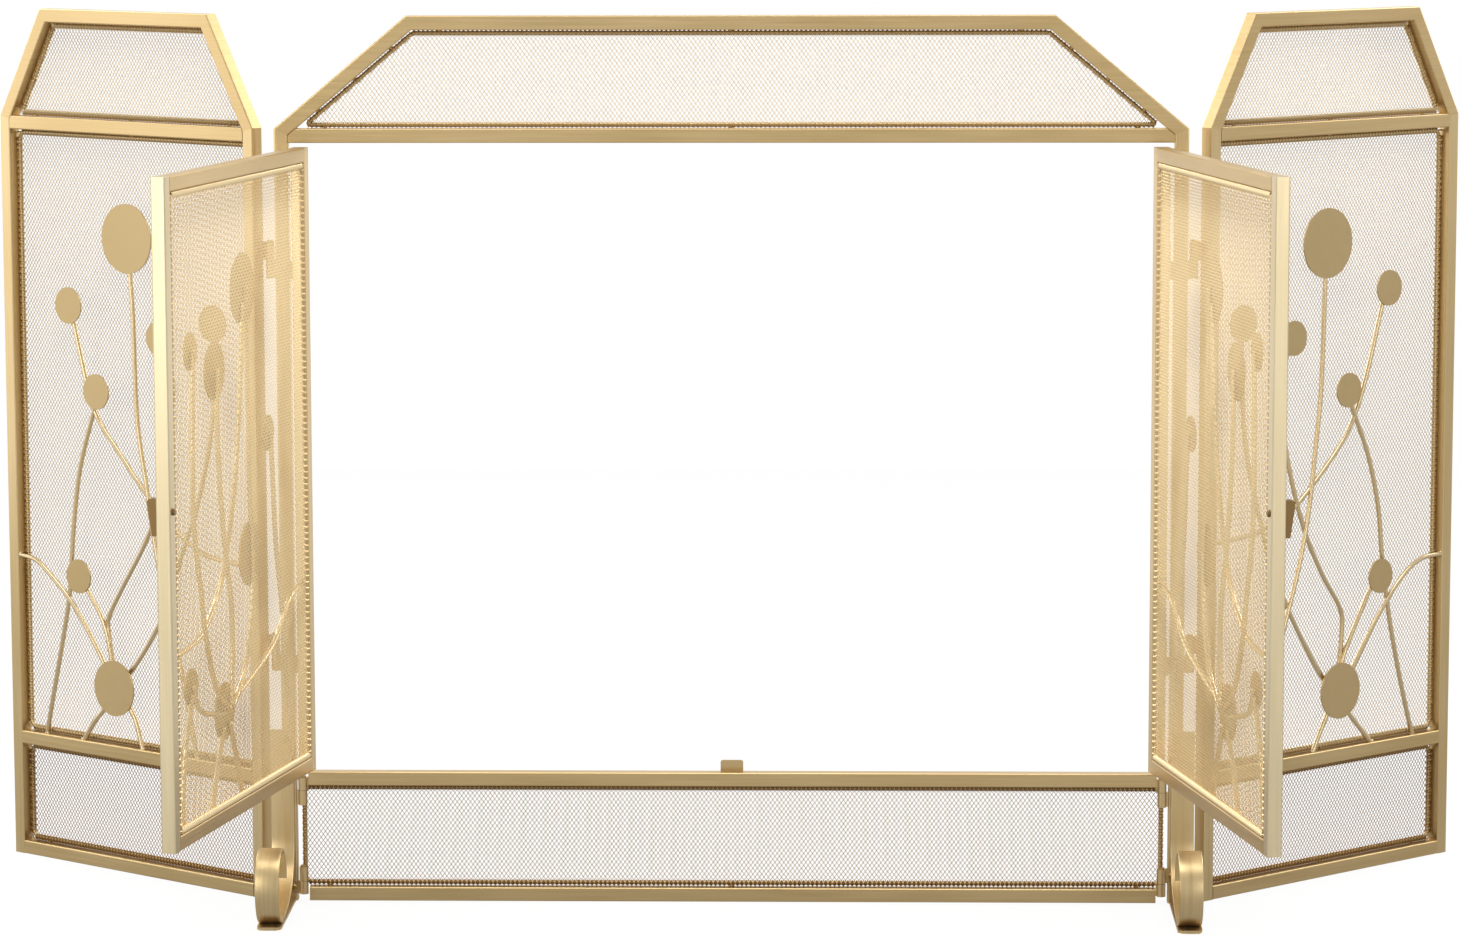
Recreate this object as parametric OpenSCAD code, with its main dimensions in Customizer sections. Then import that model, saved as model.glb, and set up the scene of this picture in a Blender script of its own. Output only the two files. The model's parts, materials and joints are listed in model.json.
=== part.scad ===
// Folding fireplace screen: a fixed centre frame with two doors, and two wings that fold back.
// Origin: on the floor, in the middle of the centre frame. X runs to the right, -Y to the front.

/* [Overall] */
// Width of the centre frame over its posts
centre_w = 812.8; // [780:0.1:860]
// Height of the whole screen
screen_h = 800; // [780:1:840]
// How far below the top the slanted corners begin
shoulder_drop = 100; // [90:1:115]
// Width of the level top rail of the centre frame
centre_top_w = 576; // [540:1:620]
// Width of each wing over its posts
wing_w = 330.2; // [326:0.1:360]
// How far each top corner of a wing is cut in
wing_cut = 56; // [45:1:70]

/* [Frame tube] */
// Side of the square tube
tube = 12.7; // [12:0.1:13.5]
// Wall of the square tube
tube_wall = 1; // [0.8:0.1:2]
// Rounding of the tube's long edges
tube_round = 1.2; // [0.6:0.1:1.8]
// Rounding of the tube's bore
bore_round = 0.4; // [0.2:0.1:0.8]

/* [Rails] */
// Height of the kick rail's top face
kick_top = 118.7; // [112:0.1:125]
// Gap between the kick strip's rails and each post
kick_gap = 10.75; // [9:0.05:12]

/* [Doors] */
// Gap between the two closed doors
door_meet = 3; // [1.5:0.5:6]
// Gap between a door's top and the cross rail
door_top_gap = 2.8; // [2:0.1:6]
// Gap between a door's bottom and the kick rail
door_bottom_gap = 5.1; // [4:0.1:8]
// How far a closed door stands in front of the centre frame
door_proud = 0.4; // [0.3:0.05:0.6]
// Opening angle of the left door as it stands
left_door_open = 101.7; // [90:0.1:115]
// Opening angle of the right door as it stands
right_door_open = 101.6; // [90:0.1:115]

/* [Wings] */
// Angle by which the left wing is folded back as it stands
left_wing_fold = 38; // [20:0.5:60]
// Angle by which the right wing is folded back as it stands
right_wing_fold = 42; // [20:0.5:60]

/* [Hinges] */
// Gap between a wing's inner post and the centre post
wing_gap = 12; // [11.5:0.1:13]
// Gap between a door's hinged stile and the centre post
door_gap = 14; // [12:0.1:15]
// Distance of the kick strip's hinge axes from the posts
kick_axis_in = 6; // [5.5:0.1:6.5]
// Distance of a hinge's axis from the tubes' faces
hinge_proud = 2; // [1.9:0.1:2.5]
// Outside diameter of a hinge barrel
barrel_d = 8; // [7:0.1:8.5]
// Diameter of a hinge pin
pin_d = 4; // [3:0.1:4.5]
// Clearance of a pin in its barrel, on the radius
pin_fit = 0.05; // [0.02:0.01:0.1]
// Height of one knuckle of a door or wing hinge
knuckle_h = 16.3; // [14:0.1:20]
// Gap between the two knuckles of a hinge
knuckle_gap = 0.3; // [0.2:0.1:0.6]
// Thickness of the web that ties a knuckle to its tube
web_t = 2.5; // [1.5:0.1:3]
// How far a web stands in front of the tube face that it is welded to
web_proud = 0.3; // [0.2:0.1:0.6]
// Height of the middle of the upper hinges
upper_hinge_z = 582; // [560:1:620]
// Height of the middle of the lower hinges
lower_hinge_z = 226; // [205:1:250]
// Height of the head of a hinge pin
pin_head_h = 1.2; // [0.8:0.1:2]
// Diameter of the head of a hinge pin
pin_head_d = 6; // [5.5:0.1:7]

/* [Kick strip hinges] */
// Height of the lower end of the lower kick hinges
kick_low_z = 7; // [6:0.5:9]
// Height of the lower end of the upper kick hinges
kick_high_z = 89; // [86:0.5:92]
// Height of the shorter, lower knuckle of a kick hinge
kick_short_h = 11.5; // [10:0.1:12.5]
// Height of the taller knuckle of a kick hinge
kick_tall_h = 13.4; // [12:0.1:14.5]
// Width of the bracket leaf on the post, past the barrel's axis
leaf_w = 15; // [13:0.5:17]
// Thickness of the bracket leaf
leaf_t = 1.5; // [1:0.1:2]
// Height of the bracket leaf
leaf_h = 11; // [9:0.5:11.5]

/* [Mesh panels] */
// Diameter of the rod round each mesh panel
rod_d = 3.8; // [3.4:0.1:4]
// Gap between the rod and the tube round it
rod_gap = 1; // [0.8:0.1:1.5]
// Radius that the rod is bent to at each corner, at its middle
rod_round = 7; // [5:0.5:12]
// Thickness of the wire net
net_t = 0.8; // [0.6:0.1:1.2]
// Width of the net's diamonds, drawn coarser than the woven wire
net_w = 40; // [34:1:48]
// Height of the net's diamonds
net_h = 55; // [46:1:64]
// Width of the bars between the diamonds
net_bar = 3; // [2:0.5:4]
// Diameter of the weld bead between rod and tube
bead_d = 3; // [2.4:0.1:3.3]
// Distance of the outer weld beads from the ends of a side
bead_in = 25; // [18:1:35]

/* [Ornament] */
// Diameter of a stem, over its flats
stem_d = 4; // [3.6:0.1:4.1]
// How far the back stems are pressed into the front ones where they cross
stem_bite = 0.7; // [0.2:0.1:0.9]
// Gap between the back stems and the rod round the mesh
stem_clear = 0.3; // [0.2:0.05:0.4]
// Thickness of a disc
disc_t = 1.5; // [1:0.1:2]
// How far a disc stands in front of the frame's front face
disc_proud = 0.6; // [0.3:0.1:0.9]
// Width of the weld at each end of a stem
stem_weld_w = 7; // [5:0.5:8]

/* [Feet] */
// Width of the foot strap
strap_w = 21; // [18:0.5:22]
// Thickness of the foot strap
strap_t = 3; // [2.5:0.1:4]
// Distance of the strap's middle from the inner side of the post
strap_in = 12.5; // [11:0.5:13]
// Height of the strap's top end
strap_top = 158; // [140:1:180]
// Height at which the strap leaves the post
strap_leave = 60; // [52:1:75]
// How far in front of the frame the scroll's middle lies
scroll_reach = 100; // [90:1:115]
// Outside diameter of the scroll
scroll_d = 66; // [56:1:72]
// Length of the base bar on the floor
base_l = 122; // [110:1:130]
// Gap between the scroll and the base bar, where they are welded
scroll_lift = 0.05; // [0.05:0.01:0.2]
// Height of the screw through the strap
foot_screw_z = 150; // [130:1:152]

/* [Pulls, stop tab and screws] */
// Height of a door pull
pull_h = 31; // [26:1:36]
// Width of a door pull
pull_w = 10; // [8:0.5:11]
// How far a pull stands out at its top
pull_out = 8; // [6:0.5:10]
// How far a pull stands out at its bottom
pull_foot = 4; // [3:0.5:5]
// Height of the lower end of a pull
pull_z = 389; // [380:1:400]
// Width of the door stop tab
tab_w = 20.5; // [16:0.5:26]
// Thickness of the door stop tab
tab_t = 2; // [1.5:0.1:3]
// How far the tab stands above the kick rail
tab_up = 9.5; // [8:0.5:11]
// How far the tab reaches down the back of the kick rail
tab_down = 10; // [7:0.5:11]
// Distance of a bracket leaf's screw from the barrel's axis
leaf_screw_in = 9.5; // [9.2:0.1:10.5]
// Diameter of a screw's shank
screw_d = 3.5; // [3:0.1:3.8]
// Clearance of a screw in its hole, on the radius
screw_fit = 0.05; // [0.02:0.01:0.2]
// Diameter of the head of a foot screw
foot_head_d = 8; // [7:0.5:9]
// Diameter of the head of a small screw
small_head_d = 6; // [5.5:0.1:6.5]
// Height of a screw's head
head_h = 2; // [1.5:0.1:2.2]

/* [Hidden] */
$fn = 48;
half_tube = tube / 2;
shoulder_z = screen_h - shoulder_drop;     // top of the cross rail
beyond = 2 * tube;                         // how far a cutting shape runs past what it cuts
least_bend = 0.2;                          // smallest radius of a rod's inner corner
half_centre = centre_w / 2;
post_in = half_centre - tube;              // X of a centre post's inner face
cross_low = shoulder_z - tube;
kick_low = kick_top - tube;                // underside of the kick strip's top rail
kick_half = post_in - kick_gap;

door_axis = [post_in - door_gap / 2, -half_tube - hinge_proud];
kick_axis = [post_in - kick_axis_in, -half_tube - hinge_proud];
wing_axis = [half_centre + wing_gap / 2, half_tube + hinge_proud];
door_w = post_in - door_gap - door_meet / 2;
door_low = kick_top + door_bottom_gap;
door_high = cross_low - door_top_gap;

front_stem_y = -half_tube + disc_t - disc_proud + stem_d / 2;
back_stem_y = front_stem_y + stem_d - stem_bite;
rod_y = back_stem_y + stem_d / 2 + stem_clear + rod_d / 2;

// Corners of the frames, as X and Z, from the lower left post round to the lower right one
centre_outline = [
    [-half_centre, 0], [-half_centre, shoulder_z], [-centre_top_w / 2, screen_h],
    [centre_top_w / 2, screen_h], [half_centre, shoulder_z], [half_centre, 0]];
wing_outline = [
    [0, 0], [0, shoulder_z], [wing_cut, screen_h],
    [wing_w - wing_cut, screen_h], [wing_w, shoulder_z], [wing_w, 0]];

hinge_zs = [lower_hinge_z, upper_hinge_z];
hinge_h = 2 * knuckle_h + knuckle_gap;     // height of a whole door or wing hinge

// Ornament. A disc is the X and Z of its middle and its diameter, all in front. A stem is its
// layer at each end, 0 in front and 1 behind, and the points that it runs through. X and Z count
// from the opening's lower corner at the hinge, in an opening of the size given first. A stem
// whose end lies outside the opening is cut off where it meets the frame.
wing_art_size = [304.8, 568.6];
left_wing_discs = [
    [151, 474, 64], [230, 408, 34], [111, 385, 32], [195, 330, 33], [223, 155, 32],
    [178, 54, 52], [41, 403, 34]];
left_wing_stems = [
    [0, 0, [[151, 474], [150, 441], [147, 400], [144, 309], [134, 252],
        [128, 217], [114, 152], [99, 106], [84, 51], [72, -4]]],
    [0, 1, [[230, 408], [218, 362], [201, 311], [171, 276], [135, 239], [97, 208], [57, 189], [-4, 184]]],
    [0, 1, [[111, 385], [97, 348], [100, 311], [108, 270], [118, 238],
        [136, 197], [171, 147], [188, 121], [190, 105], [182, 60]]],
    [0, 1, [[195, 330], [202, 311], [222, 257], [233, 200], [240, 140], [252, 90], [270, 24], [277, -4]]],
    [0, 0, [[309, 168], [285, 165], [268, 155], [234, 127], [204, 90], [184, 60]]],
    [0, 0, [[223, 155], [214, 142], [191, 109], [180, 60]]],
    [0, 1, [[41, 403], [44, 341], [51, 292], [70, 230], [85, 199], [116, 130], [145, 89], [172, 60]]],
    [0, 0, [[187, 46], [195, 32], [208, 19], [226, -4]]],
    [0, 0, [[168, 46], [158, 34], [152, 24], [143, -4]]]];
right_wing_discs = [
    [141, 470, 64], [225, 424, 33], [98, 386, 32], [172, 333, 32], [219, 156, 32],
    [166, 54, 52], [31, 404, 34]];
right_wing_stems = [
    [0, 0, [[141, 470], [141, 439], [138, 344], [132, 289], [123, 225],
        [110, 172], [90, 113], [77, 56], [66, -4]]],
    [0, 1, [[225, 424], [219, 408], [198, 340], [177, 296], [146, 263],
        [109, 232], [91, 223], [57, 211], [-4, 206]]],
    [0, 1, [[98, 386], [85, 348], [87, 311], [100, 259], [120, 207],
        [145, 164], [170, 130], [173, 106], [168, 60]]],
    [0, 1, [[172, 333], [182, 313], [204, 269], [219, 220], [226, 172], [238, 113], [255, 53], [274, -4]]],
    [0, 0, [[309, 168], [278, 166], [250, 150], [217, 115], [186, 74], [174, 60]]],
    [0, 0, [[219, 156], [207, 143], [194, 122], [173, 86], [168, 60]]],
    [0, 1, [[31, 404], [34, 341], [41, 286], [59, 226], [82, 167], [114, 114], [144, 72], [158, 58]]],
    [0, 0, [[157, 43], [149, 29], [136, 6], [131, -4]]],
    [0, 0, [[174, 41], [182, 30], [210, 2], [215, -4]]]];
door_art_size = [354.8, 535.3];
door_discs = [
    [139, 436, 62], [277, 396, 32], [216, 373, 50], [75, 303, 32], [129, 204, 56],
    [287, 113, 32], [202, 78, 50]];
door_stems = [
    [0, 1, [[277, 396], [281, 329], [284, 279], [281, 236],
        [270, 193], [259, 148], [237, 103], [207, 82]]],
    [0, 1, [[216, 373], [218, 321], [213, 263], [205, 216], [194, 173], [193, 133], [200, 85]]],
    [0, 0, [[139, 436], [136, 343], [134, 263], [129, 204]]],
    [0, 0, [[75, 303], [71, 268], [64, 203], [51, 150], [42, 94], [33, 53], [27, -4]]],
    [0, 1, [[129, 204], [137, 153], [159, 108], [196, 82]]],
    [0, 0, [[147, 423], [159, 333], [180, 253], [212, 193], [249, 163], [287, 150], [359, 146]]],
    [0, 0, [[287, 113], [272, 91], [227, 80], [208, 78]]],
    [0, 1, [[190, 84], [137, 98], [77, 118], [37, 150], [-4, 160]]],
    [0, 0, [[195, 66], [177, 28], [165, -4]]],
    [0, 0, [[212, 64], [232, 28], [248, -4]]],
    [0, 0, [[291, 106], [312, 58], [322, -4]]]];

metal = "#c2a66f";
metal_dark = "#a68a55";
metal_light = "#cdb47f";
cloth_gold = "#d8c59a";
screw_gold = "#9c8350";

// Plane geometry

function unit(v) = v / norm(v);
function right_of(a, b) = let (d = unit(b - a)) [d.y, -d.x];

// Direction and reach of the mitre at point i of a path, for an offset of 1 to the right
function mitre(path, i) =
    let (
        last = len(path) - 1,
        before = right_of(path[max(i - 1, 0)], path[max(i, 1)]),
        after = right_of(path[min(i, last - 1)], path[min(i + 1, last)]),
        m = unit(before + after))
    m / (m * before);
function beside(path, d) = [for (i = [0:len(path) - 1]) path[i] + d * mitre(path, i)];

// The same for a closed loop that runs clockwise, so that a positive d goes inwards
function loop_mitre(loop, i) =
    let (
        n = len(loop),
        before = right_of(loop[(i + n - 1) % n], loop[i]),
        after = right_of(loop[i], loop[(i + 1) % n]),
        m = unit(before + after))
    m / (m * before);
function inside(loop, d) = [for (i = [0:len(loop) - 1]) loop[i] + d * loop_mitre(loop, i)];

function at_height(a, b, z) = a + (b - a) * (z - a.y) / (b.y - a.y);
function quarter(centre, r, from) =
    [for (a = [0, 30, 60, 90]) centre + r * [cos(from + a), sin(from + a)]];
function rounded_square(side, r) =
    let (c = side / 2 - r)
    concat(quarter([c, c], r, 0), quarter([-c, c], r, 90),
        quarter([-c, -c], r, 180), quarter([c, -c], r, 270));

// A loop with each corner as an arc in four steps. A square or blunt corner has radius r, and a
// sharper one is cut back no further than a square one. A positive more widens every arc.
function corner_radius(half, r) = min(r, r * (sqrt(2) - 1) * sin(half) / (1 - sin(half)));
function rounded_corner(before, p, after, r, more) =
    let (
        u = unit(before - p),
        v = unit(after - p),
        half = acos(max(-1, min(1, u * v))) / 2,
        bend = max(least_bend, corner_radius(half, r) + more),
        centre = p + unit(u + v) * bend / sin(half),
        first = p + u * bend / tan(half) - centre,
        turn = (180 - 2 * half) * sign(first.y * u.x - first.x * u.y))
    [for (k = [0:4]) let (a = turn * k / 4)
        centre + [first.x * cos(a) - first.y * sin(a), first.x * sin(a) + first.y * cos(a)]];
function rounded_loop(loop, r, more = 0) =
    let (n = len(loop))
    [for (i = [0:n - 1])
        each rounded_corner(loop[(i + n - 1) % n], loop[i], loop[(i + 1) % n], r, more)];

// The openings of a frame, clockwise from the lower left: above its cross rail, and the others
function top_opening(outline, z) =
    let (in = beside(outline, tube))
    [at_height(in[1], in[2], z), in[2], in[3], at_height(in[4], in[3], z)];
function bay(x0, x1, z0, z1) = [[x0, z0], [x0, z1], [x1, z1], [x1, z0]];

// Solids from an outline in X and Z, between two depths

module slab(outline, y0, y1) {
    translate([0, y1, 0]) rotate([90, 0, 0]) linear_extrude(y1 - y0) polygon(outline);
}

module mirror_if(yes) {
    if (yes) mirror([1, 0, 0]) children();
    else children();
}

// A prism of the given outline from point a to point b of the X-Z plane
module along(a, b, start, end) {
    d = b - a;
    translate([a.x, 0, a.y]) rotate([0, atan2(d.x, d.y), 0])
        translate([0, 0, -start]) linear_extrude(norm(d) + start + end) children();
}

// Square tube from a to b. A capped end has a wall across it, and the area cuts the others.
module tube_piece(a, b, cap_a, cap_b, area) {
    difference() {
        intersection() {
            along(a, b, cap_a ? 0 : beyond, cap_b ? 0 : beyond)
                polygon(rounded_square(tube, tube_round));
            slab(area, -tube, tube);
        }
        along(a, b, cap_a ? -tube_wall : beyond, cap_b ? -tube_wall : beyond)
            square(tube - 2 * tube_wall, center = true);
    }
}

// Piece i of a frame's outline, mitred where it meets the next ones and capped on the floor
module post(outline, i) {
    path = beside(outline, half_tube);
    wide_a = beyond * mitre(path, i);
    wide_b = beyond * mitre(path, i + 1);
    tube_piece(path[i], path[i + 1], i == 0, i == len(path) - 2,
        [path[i] + wide_a, path[i] - wide_a, path[i + 1] - wide_b, path[i + 1] + wide_b]);
}

// The same for pieces first to last in one bent tube, open at both ends
module bent_tube(outline, first, last) {
    path = beside(outline, half_tube);
    outer = rounded_square(tube, tube_round);
    inner = rounded_square(tube - 2 * tube_wall, bore_round);
    n = len(outer);
    spots = [for (section = [outer, inner], i = [first:last + 1], q = section)
        let (p = path[i] + q.x * mitre(path, i)) [p.x, q.y, p.y]];
    bore = n * (last - first + 2);             // index of the first point of the bore
    end = n * (last - first + 1);
    skin = [for (i = [0:last - first], k = [0:n - 1])
        let (p = n * i + k, q = n * i + (k + 1) % n)
        each [[p, p + n, q], [q, p + n, q + n],
            [bore + p, bore + q, bore + p + n], [bore + q, bore + q + n, bore + p + n]]];
    rims = [for (k = [0:n - 1])
        let (q = (k + 1) % n)
        each [[k, q, bore + q], [k, bore + q, bore + k],
            [end + k, bore + end + q, end + q], [end + k, bore + end + k, bore + end + q]]];
    polyhedron(points = spots, faces = concat(skin, rims));
}

// A level rail whose ends are cut to the frame's inner faces
module frame_rail(outline, low) {
    in = beside(outline, tube);
    tube_piece([in[0].x, low + half_tube], [in[5].x, low + half_tube], false, false, in);
}

// A plain rail from x0 to x1, open at its ends
module plain_rail(x0, x1, low) {
    tube_piece([x0, low + half_tube], [x1, low + half_tube], false, false,
        bay(x0, x1, low - 1, low + tube + 1));
}

// An upright stile, capped at its top
module stile(x, low, high) {
    tube_piece([x, low], [x, high], false, true, bay(x - tube, x + tube, low, high + 1));
}

// Mesh panels: a rod ring a little inside the opening, a net across it, and weld beads

// A diamond of the net, smaller all round by half a bar
module net_gap() {
    a = net_w / 2;
    b = net_h / 2;
    share = 1 - net_bar / 2 * norm([a, b]) / (a * b);
    polygon([[-a, 0], [0, b], [a, 0], [0, -b]] * share);
}

module net(area) {
    low = [min([for (p = area) p.x]), min([for (p = area) p.y])];
    high = [max([for (p = area) p.x]), max([for (p = area) p.y])];
    middle = (low + high) / 2;
    across = ceil((high.x - low.x) / net_w);
    up = ceil((high.y - low.y) / net_h);
    difference() {
        polygon(area);
        for (i = [-across:across], j = [-up:up]) if ((i + j) % 2 == 0)
            translate([middle.x + i * net_w / 2, middle.y + j * net_h / 2]) net_gap();
    }
}

module mesh_panel(opening, welded = [0:3]) {
    area = rounded_loop(inside(opening, rod_gap + rod_d / 2), rod_round);
    translate([0, rod_y + net_t / 2, 0]) rotate([90, 0, 0]) linear_extrude(net_t) net(area);
    difference() {
        slab(rounded_loop(inside(opening, rod_gap), rod_round, rod_d / 2),
            rod_y - rod_d / 2, rod_y + rod_d / 2);
        slab(rounded_loop(inside(opening, rod_gap + rod_d), rod_round, -rod_d / 2), -tube, tube);
    }
    for (i = welded) {
        a = opening[i];
        b = opening[(i + 1) % len(opening)];
        way = unit(b - a);
        inward = right_of(a, b);
        for (p = [a + bead_in * way, (a + b) / 2, b - bead_in * way])
            translate([p.x, rod_y, p.y]) rotate([0, atan2(inward.x, inward.y), 0])
                cylinder(d = bead_d, h = rod_gap + rod_d / 2);
    }
}

// Ornament: stems are swept along a smooth curve through their points, with six flat sides

function smooth_point(a, b, c, d, t) =
    (2 * b + (c - a) * t + (2 * a - 5 * b + 4 * c - d) * t * t
        + (3 * b - a - 3 * c + d) * t * t * t) / 2;
function smooth(path, steps) =
    let (last = len(path) - 1)
    concat([for (i = [0:last - 1], k = [0:steps - 1])
        smooth_point(path[max(i - 1, 0)], path[i], path[i + 1], path[min(i + 2, last)], k / steps)],
        [path[last]]);

// A point of the drawing, moved to an opening that may have another size
function placed(p, opening, size) =
    [opening[0].x + p.x * (opening[2].x - opening[0].x) / size.x,
        opening[0].y + p.y * (opening[2].y - opening[0].y) / size.y];

function layer_y(layer) = front_stem_y + layer * (back_stem_y - front_stem_y);

module stem(path, from, to) {
    last = len(path) - 1;
    r = stem_d / 2 / cos(30);
    rings = [for (i = [0:last], k = [0:5])
        let (
            side = right_of(path[max(i - 1, 0)], path[min(i + 1, last)]),
            across = path[i] + side * r * sin(30 + 60 * k),
            y = layer_y(from + (to - from) * i / last) + r * cos(30 + 60 * k))
        [across.x, y, across.y]];
    sides = [for (i = [0:last - 1], k = [0:5])
        let (p = 6 * i + k, q = 6 * i + (k + 1) % 6)
        each [[p, q, p + 6], [q, q + 6, p + 6]]];
    start = [for (k = [1:4]) [0, k + 1, k]];
    end = [for (k = [1:4]) [6 * last, 6 * last + k, 6 * last + k + 1]];
    polyhedron(points = rings, faces = concat(sides, start, end));
}

// The flattened weld at the end of a stem, across the stem's direction from a to b
module stem_weld(a, b, layer) {
    side = right_of(a, b) * (stem_weld_w - stem_d) / 2;
    hull() for (s = [-1, 1])
        translate([a.x + s * side.x, layer_y(layer), a.y + s * side.y]) sphere(d = stem_d, $fn = 6);
}

module stems(list, size, opening) {
    intersection() {
        union() for (s = list) {
            path = smooth([for (p = s[2]) placed(p, opening, size)], 2);
            last = len(path) - 1;
            stem(path, s[0], s[1]);
            stem_weld(path[0], path[1], s[0]);
            stem_weld(path[last], path[last - 1], s[1]);
        }
        slab(opening, -tube, tube);
    }
}

module discs(list, size, opening) {
    for (d = list) {
        middle = placed(d, opening, size);
        translate([middle.x, disc_t - disc_proud - half_tube, middle.y]) rotate([90, 0, 0])
            cylinder(d = d[2], h = disc_t);
    }
}

// Hinges. X points along the web, and Y towards the tubes' faces.

module knuckle(h, reach) {
    difference() {
        union() {
            cylinder(d = barrel_d, h = h);
            translate([0, hinge_proud - web_proud, 0]) cube([reach, web_t, h]);
        }
        translate([0, 0, -1]) cylinder(r = pin_d / 2 + pin_fit, h = h + 2);
    }
}

module pin(h) {
    cylinder(d = pin_d, h = h + knuckle_gap);
    translate([0, 0, h + knuckle_gap]) cylinder(d = pin_head_d, h = pin_head_h);
}

// Places in the whole screen. A wing's X runs out from its hinge edge, and so does a door's.

module at_wing(left) {
    mirror_if(left) translate([wing_axis.x, wing_axis.y, 0])
        rotate([0, 0, left ? left_wing_fold : right_wing_fold])
            translate([wing_gap / 2, -wing_axis.y, 0]) children();
}

module at_door(left) {
    mirror_if(left) translate([door_axis.x, door_axis.y, 0])
        rotate([0, 0, left ? left_door_open : right_door_open])
            translate([-door_gap / 2, -door_axis.y - door_proud, 0]) mirror([1, 0, 0]) children();
}

// Screws point along +Y, with the head in front of Y 0

module screw(head_d, length) {
    rotate([-90, 0, 0]) {
        translate([0, 0, -head_h * 0.6]) cylinder(d = head_d, h = head_h * 0.6);
        translate([0, 0, -head_h]) cylinder(d1 = head_d * 0.7, d2 = head_d, h = head_h * 0.4);
        cylinder(d = screw_d, h = length);
    }
}

module screw_hole(length) {
    rotate([-90, 0, 0]) translate([0, 0, -1])
        cylinder(r = screw_d / 2 + screw_fit, h = length + 1);
}

screw_past = 4;                            // how far a screw's end stands into the tube
strap_x = post_in + strap_in;
foot_screw_x = post_in + half_tube;
leaf_screw_x = kick_axis.x + leaf_screw_in;
left_leaf_z = kick_low_z + (kick_short_h - leaf_h) / 2;
right_leaf_z = kick_low_z + kick_short_h + knuckle_gap + (kick_tall_h - leaf_h) / 2;

// Centre frame

module centre_post(left) {
    color(metal) difference() {
        mirror_if(left) post(centre_outline, 4);
        mirror_if(left) {
            translate([foot_screw_x, -half_tube, foot_screw_z]) screw_hole(half_tube);
            translate([leaf_screw_x, -half_tube, (left ? left_leaf_z : right_leaf_z) + leaf_h / 2])
                screw_hole(half_tube);
        }
    }
}

module centre_top_arch() {
    color(metal) bent_tube(centre_outline, 1, 3);
}

module centre_cross_rail() {
    color(metal) frame_rail(centre_outline, cross_low);
}

module centre_top_mesh() {
    color(cloth_gold) mesh_panel(top_opening(centre_outline, shoulder_z));
}

// Kick strip between the posts

module kick_top_rail() {
    color(metal) plain_rail(-kick_half, kick_half, kick_low);
}

module kick_bottom_rail() {
    color(metal) plain_rail(-kick_half, kick_half, 0);
}

// The ring's upright rods stand right behind the kick hinges, and only the rails hold it
module kick_mesh() {
    half = kick_axis.x + rod_d / 2 + rod_gap;
    color(cloth_gold) mesh_panel(bay(-half, half, tube, kick_low), [1, 3]);
}

// A short arm from the back of a barrel to the ring's rod
module rod_arm(h) {
    reach = rod_y - rod_d / 2 - kick_axis.y;
    difference() {
        translate([-web_t / 2, 0, 0]) cube([web_t, reach, h]);
        translate([0, 0, -1]) cylinder(r = pin_d / 2 + pin_fit, h = h + 2);
    }
}

module kick_strip_knuckles() {
    web = kick_axis.x - kick_half;
    color(metal_light) {
        for (left = [true, false]) mirror_if(left) translate([kick_axis.x, kick_axis.y, 0]) {
            translate([0, 0, kick_high_z + kick_tall_h + knuckle_gap])
                mirror([1, 0, 0]) knuckle(kick_short_h, web);
            if (left) translate([0, 0, kick_low_z + kick_short_h + knuckle_gap]) {
                knuckle(kick_tall_h, 0.1);
                rod_arm(kick_tall_h);
            }
            else translate([0, 0, kick_low_z]) mirror([1, 0, 0]) knuckle(kick_short_h, web);
        }
    }
}

// A leaf that lies on the front of the post, with a screw through it
module bracket_leaf() {
    difference() {
        translate([0, -leaf_t - half_tube - kick_axis.y, 0]) cube([leaf_w, leaf_t, leaf_h]);
        translate([0, 0, -1]) cylinder(r = pin_d / 2 + pin_fit, h = leaf_h + 2);
        translate([leaf_screw_in, -leaf_t - half_tube - kick_axis.y, leaf_h / 2])
            screw_hole(leaf_t + 1);
    }
}

module kick_post_brackets() {
    web = post_in - kick_axis.x;
    color(metal_light) {
        for (left = [true, false]) mirror_if(left) translate([kick_axis.x, kick_axis.y, 0]) {
            translate([0, 0, kick_high_z]) knuckle(kick_tall_h, web);
            translate([0, 0, left ? kick_low_z : kick_low_z + kick_short_h + knuckle_gap])
                knuckle(left ? kick_short_h : kick_tall_h, web);
            translate([0, 0, left ? left_leaf_z : right_leaf_z]) bracket_leaf();
        }
    }
}

module kick_hinge_pins() {
    h = kick_short_h + kick_tall_h + knuckle_gap;
    color(screw_gold) for (x = [-kick_axis.x, kick_axis.x], z = [kick_low_z, kick_high_z])
        translate([x, kick_axis.y, z]) pin(h);
}

module kick_bracket_screws() {
    color(screw_gold) for (left = [true, false]) mirror_if(left)
        translate([leaf_screw_x, -half_tube - leaf_t, (left ? left_leaf_z : right_leaf_z) + leaf_h / 2])
            screw(small_head_d, leaf_t + tube_wall + screw_past);
}

module door_stop_tab() {
    r = 2;
    half = tab_w / 2;
    top = kick_top + tab_up;
    low = kick_top - tab_down;
    outline = concat([[half, low]], quarter([half - r, top - r], r, 0),
        quarter([r - half, top - r], r, 90), [[-half, low]]);
    color(metal_dark) slab(outline, half_tube, half_tube + tab_t);
}

// Feet: a strap down the post, swept forward to the floor and curled into a scroll

scroll_r = (scroll_d - strap_t) / 2;       // to the middle of the strap
scroll_mid = [scroll_reach, strap_t + scroll_lift + scroll_d / 2];

function sweep_point(t) =
    let (
        a = [strap_t / 2, strap_leave],
        b = [strap_t / 2, strap_leave * 0.4],
        c = [scroll_reach * 0.4, scroll_mid.y - scroll_r],
        d = [scroll_reach, scroll_mid.y - scroll_r],
        s = 1 - t)
    s * s * s * a + 3 * s * s * t * b + 3 * s * t * t * c + t * t * t * d;

strap_path = concat(
    [[strap_t / 2, strap_top]],
    [for (k = [0:9]) sweep_point(k / 10)],
    [for (a = [-90:15:180]) scroll_mid + scroll_r * [cos(a), sin(a)]]);

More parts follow.
